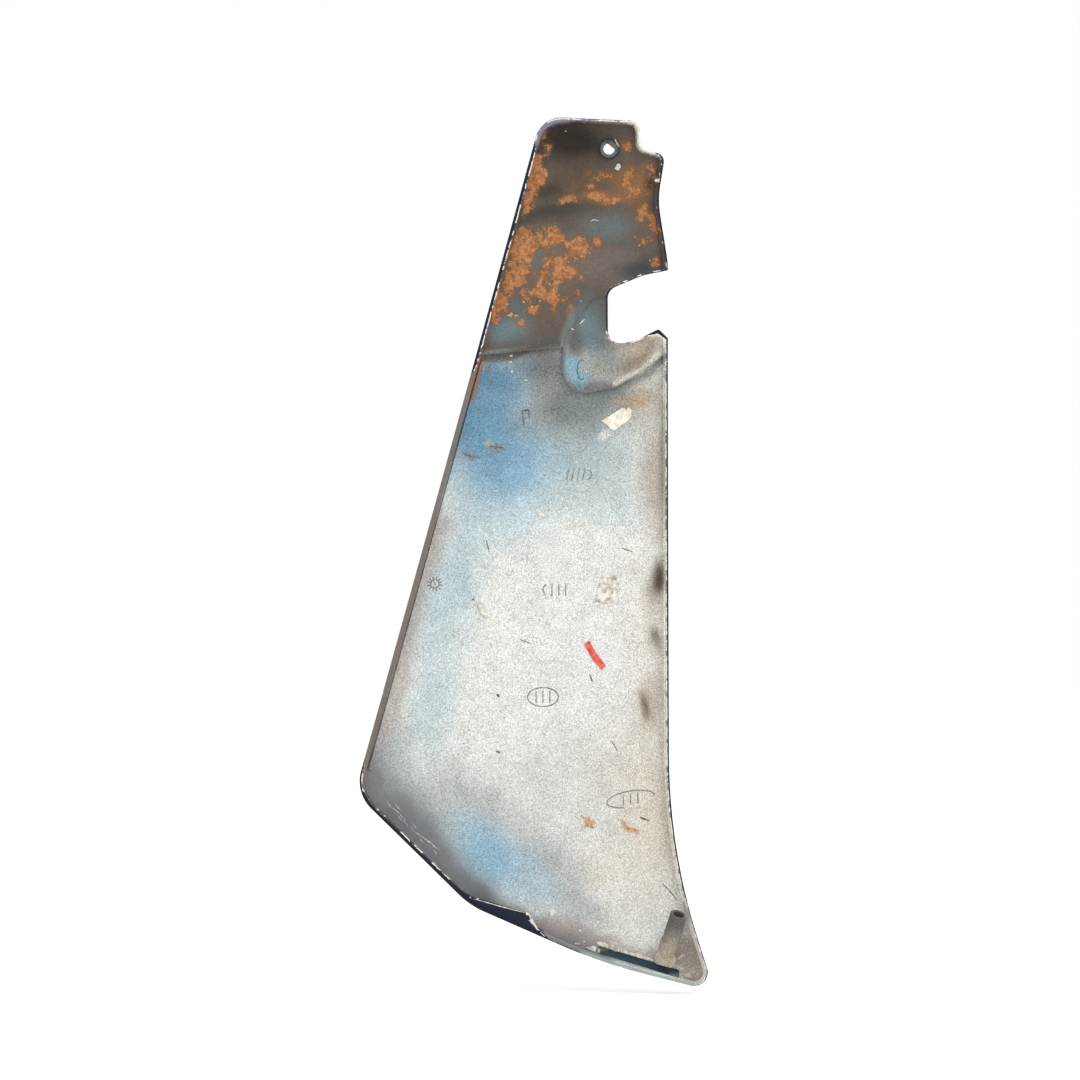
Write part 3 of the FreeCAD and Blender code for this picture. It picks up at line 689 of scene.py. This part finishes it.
# Ejector-pin marks on the floor of the hollow side: a few thin raised bars and an oval ring, often cut short.
# They are the same plastic with the lines painted darker as their shade, set out by one Geometry Nodes tree
# and laid down.
# Each row: middle pixel; count, spacing, height and lean of bars; reach, rise, start and sweep of ring; turn.
MARK_LINE_WIDTH, MARK_LINE_HEIGHT = 0.46, 0.3
BAR_POINTS, RING_POINTS = 6, 48
VIEWER_SIDE = -200 * MM
EJECTOR_MARKS = [
    (576, 474, 4, 2.5, 5.8, -12, 7.4, 4.0, -38, 70, 0),
    (540, 372, 4, 2.4, 4.2, -10, 7.0, 3.6, -30, 60, 0),
    (559, 590, 3, 3.2, 5.8, 0, 7.4, 4.2, 145, 70, 0),
    (543, 698, 3, 3.2, 5.6, 0, 7.2, 4.4, 0, 360, 0),
    (631, 800, 3, 3.4, 5.0, -8, 11.2, 3.7, 0, 250, 10),
]


def lay_down(mesh, at=(0.0, 0.0), turn=0.0):
    """Set flat work down on the hollow side at a place in millimetres. Its own Z is its height there."""
    c, s = math.cos(math.radians(turn)), math.sin(math.radians(turn))
    for vertex in mesh.vertices:
        u, v, height = vertex.co
        px, pz = at[0] * MM + u * c - v * s, at[1] * MM + u * s + v * c
        resting = solid.ray_cast(Vector((px, VIEWER_SIDE, pz)), OUTWARD)[0]
        if resting is None:
            vertex.co = solid.find_nearest(Vector((px, 0, pz)))[0]
        else:
            vertex.co = (px, resting.y - height, pz)


def stuck_on(name, mesh, material):
    """Make one piece of a mesh that is already laid down, and fix it to the cover."""
    mesh.materials.clear()
    mesh.materials.append(material)
    piece = placed(name, mesh)
    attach(piece, "root")


def grown(tree, values):
    """The mesh that a Geometry Nodes tree grows with these named values."""
    carrier = placed("carrier", bpy.data.meshes.new("carrier"))
    modifier = carrier.modifiers.new("grow", "NODES")
    modifier.node_group = tree
    for item in tree.interface.items_tree:
        if item.in_out == "INPUT" and item.name in values:
            modifier[item.identifier] = values[item.name]
    mesh = bpy.data.meshes.new_from_object(carrier.evaluated_get(bpy.context.evaluated_depsgraph_get()))
    bpy.data.objects.remove(carrier)
    return mesh


def growing_tree(name, count, sizes):
    """An empty Geometry Nodes tree with a count, sizes and a material as named inputs, and its two ends."""
    tree = bpy.data.node_groups.new(name, "GeometryNodeTree")
    inputs = {count: "Int", **dict.fromkeys(sizes, "Float"), "Material": "Material"}
    for label, kind in inputs.items():
        tree.interface.new_socket(label, in_out="INPUT", socket_type="NodeSocket" + kind)
    tree.interface.new_socket("Geometry", in_out="OUTPUT", socket_type="NodeSocketGeometry")
    return tree, tree.nodes.new("NodeGroupInput").outputs, tree.nodes.new("NodeGroupOutput").inputs


def grow(tree, kind, inputs=(), **settings):
    """Add one node to a Geometry Nodes tree and give its first output."""
    return node(tree, kind, inputs, **settings).outputs[0]


def vector(tree, *parts):
    """Up to three values as one vector."""
    return grow(tree, "ShaderNodeCombineXYZ", dict(zip("XYZ", parts)))


def drawn_line(tree, curve, width, height):
    """A curve drawn as a thin raised line."""
    profile = grow(tree, "GeometryNodeCurvePrimitiveQuadrilateral", {"Width": width, "Height": height})
    inputs = {"Curve": curve, "Profile Curve": profile, "Fill Caps": True}
    return grow(tree, "GeometryNodeCurveToMesh", inputs)


def finish_growth(tree, parts, material, end):
    """Join the parts, make them real, give them their material and end the tree."""
    joined = grow(tree, "GeometryNodeJoinGeometry", {0: parts})
    real = grow(tree, "GeometryNodeRealizeInstances", {0: joined})
    coated = grow(tree, "GeometryNodeSetMaterial", {0: real, "Material": material})
    tree.links.new(coated, end[0])


def two_toned(tree, shader, scale, dark, light):
    """Colour a material in soft patches of two tones."""
    patches = spread(tree, texture(tree, scale, 4.0, 0.6), 0.35, 0.65)
    tree.links.new(mixed(tree, patches, dark, light), shader.inputs["Base Color"])


line_shade, tree, shader = new_material("painted_shade_in_mould_lines", 0.7, 0.1)
two_toned(tree, shader, 900, rgba(92, 94, 96), rgba(150, 152, 152))
marks_tree, given, end = growing_tree("ejector_mark", "Bars", [
    "Bar Spacing", "Bar Height", "Bar Lean", "Ring Reach", "Ring Rise", "Ring Start", "Ring Sweep",
    "Line Width", "Line Height"])
step = vector(marks_tree, given["Bar Spacing"])
bar_places = grow(marks_tree, "GeometryNodeMeshLine", {"Count": given["Bars"], "Offset": step})
gaps = grow(marks_tree, "ShaderNodeMath", {0: given["Bars"], 1: -0.5, 2: 0.5}, operation="MULTIPLY_ADD")
back = grow(marks_tree, "ShaderNodeVectorMath", {0: step, "Scale": gaps}, operation="SCALE")
bar_places = grow(marks_tree, "GeometryNodeTransform", {"Geometry": bar_places, "Translation": back})
bar_size = vector(marks_tree, given["Line Width"], given["Bar Height"], given["Line Height"])
bar = grow(marks_tree, "GeometryNodeMeshCube", {"Size": bar_size, "Vertices Y": BAR_POINTS})
bars = grow(marks_tree, "GeometryNodeInstanceOnPoints", {
    "Points": bar_places, "Instance": bar, "Rotation": vector(marks_tree, 0.0, 0.0, given["Bar Lean"])})
arc = grow(marks_tree, "GeometryNodeCurveArc", {
    "Resolution": RING_POINTS, "Radius": 1.0, "Start Angle": given["Ring Start"],
    "Sweep Angle": given["Ring Sweep"]})
oval = vector(marks_tree, given["Ring Reach"], given["Ring Rise"], 1.0)
arc = grow(marks_tree, "GeometryNodeTransform", {"Geometry": arc, "Scale": oval})
ring_line = drawn_line(marks_tree, arc, given["Line Width"], given["Line Height"])
finish_growth(marks_tree, [bars, ring_line], given["Material"], end)
for count, row in enumerate(EJECTOR_MARKS):
    px, py, bar_count, spacing, tall, lean, reach, rise, start, sweep, turn = row
    mark = grown(marks_tree, {
        "Bars": bar_count, "Bar Spacing": spacing * MM, "Bar Height": tall * MM,
        "Bar Lean": math.radians(lean), "Ring Reach": reach * MM, "Ring Rise": rise * MM,
        "Ring Start": math.radians(start), "Ring Sweep": math.radians(sweep),
        "Line Width": MARK_LINE_WIDTH * MM, "Line Height": MARK_LINE_HEIGHT * MM, "Material": line_shade})
    lay_down(mark, on_cover(px, py), turn)
    stuck_on(f"ejector_mark_{count + 1}", mark, line_shade)

# Date dial: a small moulded wheel of plain ticks round a ring with a pointer, halfway up the floor's left.
# It is the same plastic with brown dirt in its lines, set out by Geometry Nodes and laid down on the floor.
DIAL_PIXEL = (434.4, 584)
DIAL_TURN = 15.0
DIAL_TICKS, TICK_RADIUS, TICK_LENGTH = 12, 2.95, 1.5
DIAL_RING_RADIUS, DIAL_LINE_WIDTH, DIAL_LINE_HEIGHT = 1.9, 0.4, 0.24
dial_dirt, tree, shader = new_material("dirt_in_dial", 0.7, 0.1)
two_toned(tree, shader, 900, rgba(104, 82, 66), rgba(160, 138, 118))
dial_tree, given, end = growing_tree("date_dial", "Ticks", [
    "Tick Radius", "Tick Length", "Ring Radius", "Line Width", "Line Height"])
tick_places = grow(dial_tree, "GeometryNodeMeshCircle", {
    "Vertices": given["Ticks"], "Radius": given["Tick Radius"]})
tick_size = vector(dial_tree, given["Tick Length"], given["Line Width"], given["Line Height"])
tick = grow(dial_tree, "GeometryNodeMeshCube", {"Size": tick_size})
place = grow(dial_tree, "GeometryNodeInputPosition")
outwards = grow(dial_tree, "FunctionNodeAlignRotationToVector", {"Vector": place}, axis="X")
ticks = grow(dial_tree, "GeometryNodeInstanceOnPoints", {
    "Points": tick_places, "Instance": tick, "Rotation": outwards})
circle = grow(dial_tree, "GeometryNodeCurvePrimitiveCircle", {"Radius": given["Ring Radius"]})
dial_ring = drawn_line(dial_tree, circle, given["Line Width"], given["Line Height"])
pointer_size = vector(dial_tree, given["Line Width"], given["Ring Radius"], given["Line Height"])
pointer = grow(dial_tree, "GeometryNodeMeshCube", {"Size": pointer_size})
finish_growth(dial_tree, [ticks, dial_ring, pointer], given["Material"], end)
dial = grown(dial_tree, {
    "Ticks": DIAL_TICKS, "Tick Radius": TICK_RADIUS * MM, "Tick Length": TICK_LENGTH * MM,
    "Ring Radius": DIAL_RING_RADIUS * MM, "Line Width": DIAL_LINE_WIDTH * MM,
    "Line Height": DIAL_LINE_HEIGHT * MM, "Material": dial_dirt})
lay_down(dial, on_cover(*DIAL_PIXEL), DIAL_TURN)
stuck_on("date_dial", dial, dial_dirt)

# Scraps stuck to the floor and the tab: torn sticker, label, tape, bits of leaf and twig, and lifted flakes.
# Each is a thin slip with curled corners in a mottled material, and it lies on the plastic under it.
# Each row: name, thickness in millimetres, material and outline in pixels.
CURL_HEIGHT, SINK = 0.3, 0.1
CREASE_STRENGTH, CREASE_HEIGHT = 0.5, 0.3 * MM
SCRAPS = [
    ("white_sticker", 0.35, "white sticker",
     [(602, 420), (622.7, 407), (625.6, 407.3), (626.7, 410), (629.3, 406.3), (632, 408.7), (632, 415.3),
      (629.3, 419.3), (614.7, 430), (611.3, 428), (606.7, 423.3)]),
    ("cream_label", 0.25, "cream label",
     [(601.8, 574.4), (620.4, 575.1), (619.6, 582.2), (615.6, 600), (613.3, 604), (605.6, 602.7),
      (594.9, 606.2), (597.8, 591.1)]),
    ("red_tape", 0.35, "red tape",
     [(584.4, 645.1), (589.6, 641.3), (595.6, 652.2), (606, 666.2), (602.2, 670.7), (593.3, 661.1)]),
    ("white_sliver", 0.7, "flaked paint",
     [(477.3, 603.3), (480, 604.4), (484.4, 610.7), (488.4, 616.7), (485.6, 618.7), (481.1, 614.4),
      (477.8, 607.1)]),
    ("leaf_bit", 0.3, "dry leaf",
     [(581, 816), (586, 820), (590, 818), (590.5, 822), (596, 823), (592, 825.5), (594, 830), (588.5, 827),
      (583, 828.5), (587, 824)]),
    ("twig_bit", 0.5, "dry leaf",
     [(622, 821), (625, 823), (628, 828), (634, 829.5), (640, 831.5), (639, 833.5), (632, 832.3),
      (626.5, 830.5), (623, 826)]),
    ("scab_on_tab", 0.5, "grey crust",
     [(614.6, 168.4), (617.4, 163.5), (620, 163.7), (621, 167), (618.7, 170.2), (616.4, 169.8)]),
    ("hole_burr", 0.3, "dark burr", [(606, 142.4), (611, 140.2), (615.4, 143), (618.4, 147.6), (616.4, 151)]),
    ("groove_flap", 0.4, "flaked paint",
     [(586, 948), (594, 946), (600, 949.6), (599.5, 953), (593, 951.5)]),
    ("groove_end", 0.35, "grey crust", [(680, 970), (687, 971.5), (694, 975.5), (691, 977.6), (685, 975.6)]),
]
SCRAP_COLOURS = {
    "white sticker": ((238, 222, 192), (255, 254, 246)),
    "cream label": ((178, 168, 150), (250, 246, 234)),
    "red tape": ((208, 72, 60), (246, 120, 106)),
    "dry leaf": ((172, 122, 74), (222, 178, 130)),
    "flaked paint": ((206, 198, 184), (255, 250, 240)),
    "grey crust": ((166, 160, 150), (222, 216, 204)),
    "dark burr": ((52, 48, 46), (110, 108, 104)),
}
scrap_materials = {}


def in_light(*levels):
    """A display colour as it is before the stage light brightens it."""
    return (*(linear(*levels) * LIGHT), 1.0)


for label, (dark_level, light_level) in SCRAP_COLOURS.items():
    scrap_materials[label], tree, shader = new_material(label.replace(" ", "_"), 0.6, 0.2)
    patches = spread(tree, texture(tree, 420, 5.0, 0.65), 0.35, 0.62)
    crumpled = mixed(tree, patches, in_light(*dark_level), in_light(*light_level))
    tree.links.new(crumpled, shader.inputs["Base Color"])
    creases = {"Strength": CREASE_STRENGTH, "Distance": CREASE_HEIGHT, "Height": texture(tree, 600, 3.0)}
    crease = node(tree, "ShaderNodeBump", creases)
    tree.links.new(crease.outputs["Normal"], shader.inputs["Normal"])
curl = random.Random(11)


def slip(mesh_maker, outline, thick):
    """Add one thin slip with a skirt that runs down past the side it lies on."""
    heights = [(thick + curl.uniform(0, CURL_HEIGHT)) * MM for _ in outline]
    top = [mesh_maker.verts.new((px * MM, pz * MM, high)) for (px, pz), high in zip(outline, heights)]
    foot = [mesh_maker.verts.new((px * MM, pz * MM, -SINK * MM)) for px, pz in outline]
    mesh_maker.faces.new(top)
    for here in range(len(outline)):
        after = (here + 1) % len(outline)
        mesh_maker.faces.new((top[after], top[here], foot[here], foot[after]))


def set_down(name, mesh_maker, material):
    """Turn built slips into one piece, lay it on the hollow side and fix it there."""
    bmesh.ops.recalc_face_normals(mesh_maker, faces=mesh_maker.faces[:])
    flat = bpy.data.meshes.new(name)
    mesh_maker.to_mesh(flat)
    mesh_maker.free()
    lay_down(flat)
    stuck_on(name, flat, material)


for name, thick, label, outline in SCRAPS:
    maker = bmesh.new()
    slip(maker, [on_cover(*place) for place in outline], thick)
    bmesh.ops.triangulate(maker, faces=maker.faces[:])
    set_down(name, maker, scrap_materials[label])

# Scratches and flecks: narrow ragged ridges of bare pale or dirty brown plastic, and cream or tan chips.
# # Among the scratches, one pale mark is a painted glint on the nub and one dark arc is a painted shadow line
# round the pad's dome.
# They lie on the coat in four pieces, two of each kind, made ragged by the seeded generator.
# A scratch has its tone, pixels along it and width in pixels, and a fleck its pixel and radius in pixels.
RING_TURN = 20
LEG_STEPS, SCRATCH_THICK, END_WIDTH = 10, 0.05, 0.25
FLECK_CORNERS, FLECK_THICK, FLECK_SQUASH = 9, 0.1, 0.8
FLECK_UNEVEN, SCRATCH_UNEVEN = (0.6, 1.25), (0.55, 1.2)
RUB_COUNT, RUB_SCATTER, RUB_WIDTH = 10, 5, 0.55
RUB_START_X, RUB_START_Y = 388, 800
RUB_STEP_X, RUB_STEP_Y = 5.2, 5.6
RUB_LEAN_X, RUB_LEAN_Y = 0.6, 0.7
RUB_SHORTEST, RUB_LONGEST = 5, 13


def ring_part(px, py, across, along, start, stop):
    """Part of an oval in photo pixels, clockwise between two angles in degrees."""
    turns = [math.radians(turn) for turn in range(start, stop + 1, RING_TURN)]
    return [(px + across * math.cos(turn), py + along * math.sin(turn)) for turn in turns]


SCRATCHES_GLINT_AND_SHADOW_LINE = [
    ("dark", [(522, 410), (529, 409), (529, 418)], 1.4),
    ("dark", [(522, 410), (524, 424)], 1.5),
    ("dark", [(489, 446), (497, 446), (504, 448)], 0.9),
    ("pale", [(491, 442.5), (494, 443.5)], 1.2),
    ("dark", [(463, 453), (472, 456), (480, 457)], 0.8),
    ("pale", [(544, 468), (548, 468), (550, 472), (547, 474)], 1.4),
    ("pale", [(648, 440), (652, 442), (652, 446)], 1.6),
    ("pale", ring_part(404, 710, 8.5, 8.5, -20, 200), 0.8),
    # A painted shadow line round the left and bottom of the pad's small dome.
    ("dark", ring_part(582.5, 369, 5, 10, 70, 300), 0.7),
    ("dark", [(497, 695), (499, 698)], 2.4),
    ("dark", [(496, 752), (500, 754)], 2),
    ("dark", [(472, 599), (474, 601)], 2.2),
    ("pale", [(388, 806), (396, 811), (406, 822)], 0.7),
    ("pale", [(414, 832), (430, 843), (440, 852)], 0.6),
    ("dark", [(662, 884), (668, 889), (673, 895), (677, 901)], 0.9),
    ("dark", [(590, 675), (593, 683)], 1.2),
    ("dark", [(640, 818), (650, 822)], 1.6),
    ("pale", [(529, 914), (531.7, 921.7), (537.5, 929), (545, 936)], 1.6),
    ("pale", [(677, 959), (684, 954)], 1.4),
    ("pale", [(574, 329), (571, 327)], 1.6),
    ("pale", [(580, 323), (585, 318)], 1.2),
    ("pale", [(656, 369.5), (661, 366.5), (668, 360)], 1.6),
    ("pale", [(597, 943), (606, 945.4), (617, 949.2), (629, 953)], 5.5),
    ("pale", [(624, 951.8), (640, 956), (655, 960.4)], 3.2),
    ("pale", [(673, 965.4), (678, 966.8), (684, 968.2)], 4.2),
    ("pale", [(474, 898.5), (500, 906), (527, 913)], 1),
    ("pale", [(614.5, 139), (619, 147)], 1.6),
    # A painted glint on the end of the small nub.
    ("pale", [(654.5, 181.5), (658.5, 180.5)], 3),
    ("pale", [(590, 221), (594, 219), (599, 220)], 1),
    ("pale", [(693, 983), (697, 981.5)], 3),
    ("dark", [(622, 548), (634, 552)], 0.9),
    ("dark", [(486, 540), (489, 552)], 0.8),
    ("dark", [(520, 640), (530, 644)], 0.8),
    ("pale", [(446, 760), (462, 772)], 0.9),
    ("dark", [(612, 742), (618, 752)], 0.9),
]
FLECKS = {
    "cream": [
        (511, 355, 1.5), (510, 361, 1.5), (511.7, 370.7, 1.5), (526, 378.7, 1.6), (543, 514, 4.2),
        (602.5, 912, 2.2), (601.7, 918, 2.2), (598, 922.5, 2), (552.5, 912.5, 3.6), (544, 917, 1.8),
        (580, 931, 1.8), (576, 944, 1.4), (578.5, 944, 1.4), (584, 942, 1.4), (587, 371, 1.2),
        (687, 941, 1.8), (690, 936, 1.4), (693, 971, 1.8), (634, 566, 1.2), (548, 540, 1), (470, 700, 1),
        (500, 760, 1), (560, 770, 1.1), (588, 560, 1.2), (646, 401, 1.2), (655, 384, 1.4)],
    "tan": [
        (575, 257, 1.4), (577.5, 257.5, 1.2), (561, 262.5, 1.6), (569, 261, 1.4), (563, 258, 1.2),
        (540, 300, 2), (523.7, 301, 1.6), (510, 313.7, 3.4), (516, 315, 2), (581, 300, 1.4), (532, 306, 1.6),
        (549, 247, 1), (611, 400, 1.7), (614, 403, 1.2), (616, 397, 1.3), (621, 400, 0.9), (624, 394, 1.1),
        (629, 397, 1.5), (633, 391, 1), (638, 396, 1.2), (641, 390, 1.6), (645, 394, 1), (648, 391, 1.4),
        (650, 396, 0.8), (636, 400, 0.9), (620, 340, 1.3), (628, 338, 1.5), (638, 335, 1.3), (646, 331, 1.5),
        (652, 329, 1.4), (614, 341, 1.4), (612, 370, 1.2), (592, 354, 1.2), (566, 131, 1.2), (650, 260, 1.2),
        (640, 245, 1.6)],
}
fleck_makers = {"cream": bmesh.new(), "tan": bmesh.new()}
for tone, chips in FLECKS.items():
    for px, py, radius in chips:
        at_x, at_z = on_cover(px, py)
        turns = sorted(curl.uniform(0, 2 * math.pi) for _ in range(FLECK_CORNERS))
        sizes = [radius * PIXEL * curl.uniform(*FLECK_UNEVEN) for _ in turns]
        outline = []
        for size, turn in zip(sizes, turns):
            outline.append((at_x + size * math.cos(turn), at_z + FLECK_SQUASH * size * math.sin(turn)))
        slip(fleck_makers[tone], outline, FLECK_THICK)
rub_marks = []
for step in range(RUB_COUNT):
    px = RUB_START_X + RUB_STEP_X * step + curl.uniform(-RUB_SCATTER, RUB_SCATTER)
    py = RUB_START_Y + RUB_STEP_Y * step + curl.uniform(-RUB_SCATTER, RUB_SCATTER)
    run = curl.uniform(RUB_SHORTEST, RUB_LONGEST)
    rub_marks.append(("pale", [(px, py), (px + RUB_LEAN_X * run, py + RUB_LEAN_Y * run)], RUB_WIDTH))
scratch_makers = {"pale": bmesh.new(), "dark": bmesh.new()}
for tone, places, width in SCRATCHES_GLINT_AND_SHADOW_LINE + rub_marks:
    line = [on_cover(*place) for place in places]
    near_side, far_side = [], []
    steps = LEG_STEPS * (len(line) - 1)
    for here in range(steps + 1):
        leg = min(here // LEG_STEPS, len(line) - 2)
        (ax, az), (bx, bz) = line[leg], line[leg + 1]
        t = here / LEG_STEPS - leg
        length = math.hypot(bx - ax, bz - az)
        swell = END_WIDTH + (1 - END_WIDTH) * math.sin(math.pi * here / steps) ** 0.5
        half = width * PIXEL / 2 * swell * curl.uniform(*SCRATCH_UNEVEN)
        off_x, off_z = -(bz - az) / length * half, (bx - ax) / length * half
        near_side.append((ax + (bx - ax) * t + off_x, az + (bz - az) * t + off_z))
        far_side.append((ax + (bx - ax) * t - off_x, az + (bz - az) * t - off_z))
    for here in range(steps):
        quad = [near_side[here], far_side[here], far_side[here + 1], near_side[here + 1]]
        slip(scratch_makers[tone], quad, SCRATCH_THICK)
dark_scuff_and_shadow_line, tree, shader = new_material("brown_scratch_and_shadow_line", 0.75, 0.1)
two_toned(tree, shader, 800, in_light(84, 74, 66), in_light(150, 140, 126))
pale_scuff_and_glint, tree, shader = new_material("pale_scratch", 0.6, 0.2)
two_toned(tree, shader, 800, in_light(206, 198, 182), in_light(250, 246, 236))
set_down("cream_flecks", fleck_makers["cream"], pale_scuff_and_glint)
set_down("tan_flecks", fleck_makers["tan"], scrap_materials["dry leaf"])
set_down("pale_scratches_and_glint", scratch_makers["pale"], pale_scuff_and_glint)
set_down("dark_scratches_and_shadow_line", scratch_makers["dark"], dark_scuff_and_shadow_line)

# Stage: a plain pale floor below the hung cover, soft light and the photograph's straight-on camera.
# The floor is one square in a bright matt material, and none of this is part of the cover.
FLOOR_GAP = 4 * MM
FLOOR_HALF = 6
FLOOR_GLOW = 0.3
floor_z = cad_box[0].z - FLOOR_GAP
floor_corners = [(-FLOOR_HALF, -FLOOR_HALF, floor_z), (FLOOR_HALF, -FLOOR_HALF, floor_z),
                 (FLOOR_HALF, FLOOR_HALF, floor_z), (-FLOOR_HALF, FLOOR_HALF, floor_z)]
floor_mesh = bpy.data.meshes.new("floor")
floor_mesh.from_pydata(floor_corners, [], [(0, 1, 2, 3)])
floor = placed("floor", floor_mesh)
floor_finish, tree, shader = new_material("pale_floor", 0.9, 0.1)
shader.inputs["Base Color"].default_value = (0.92, 0.92, 0.92, 1)
shader.inputs["Emission Color"].default_value = (1, 1, 1, 1)
shader.inputs["Emission Strength"].default_value = FLOOR_GLOW
floor_mesh.materials.append(floor_finish)
world = bpy.data.worlds.new("studio")
world.use_nodes = True
world.node_tree.nodes["Background"].inputs["Color"].default_value = (1, 1, 1, 1)
world.node_tree.nodes["Background"].inputs["Strength"].default_value = 1.0
bpy.context.scene.world = world
middle = Vector((-0.032, 0.0, -0.1814))


def area_light(name, place, watts, width):
    """A soft square light that faces the cover."""
    light = bpy.data.lights.new(name, "AREA")
    light.energy = watts
    light.size = width
    lamp = placed(name, light)
    lamp.location = place
    lamp.rotation_euler = (middle - lamp.location).to_track_quat("-Z", "Y").to_euler()


area_light("key", place=Vector((0.7, -0.9, 0.9)), watts=7.0, width=0.5)
CAMERA_DISTANCE = 3.0
SENSOR_WIDTH = 36
PHOTO_WIDTH = 1080
FRAME_WIDTH = PHOTO_WIDTH * PIXEL * MM
lens = bpy.data.cameras.new("camera")
lens.sensor_width = SENSOR_WIDTH
lens.lens = SENSOR_WIDTH * CAMERA_DISTANCE / FRAME_WIDTH
camera = placed("camera", lens)
camera.location = middle - Vector((0, CAMERA_DISTANCE, 0))
camera.rotation_euler = (math.pi / 2, 0, 0)
bpy.context.scene.camera = camera
bpy.context.scene.view_settings.view_transform = "Standard"
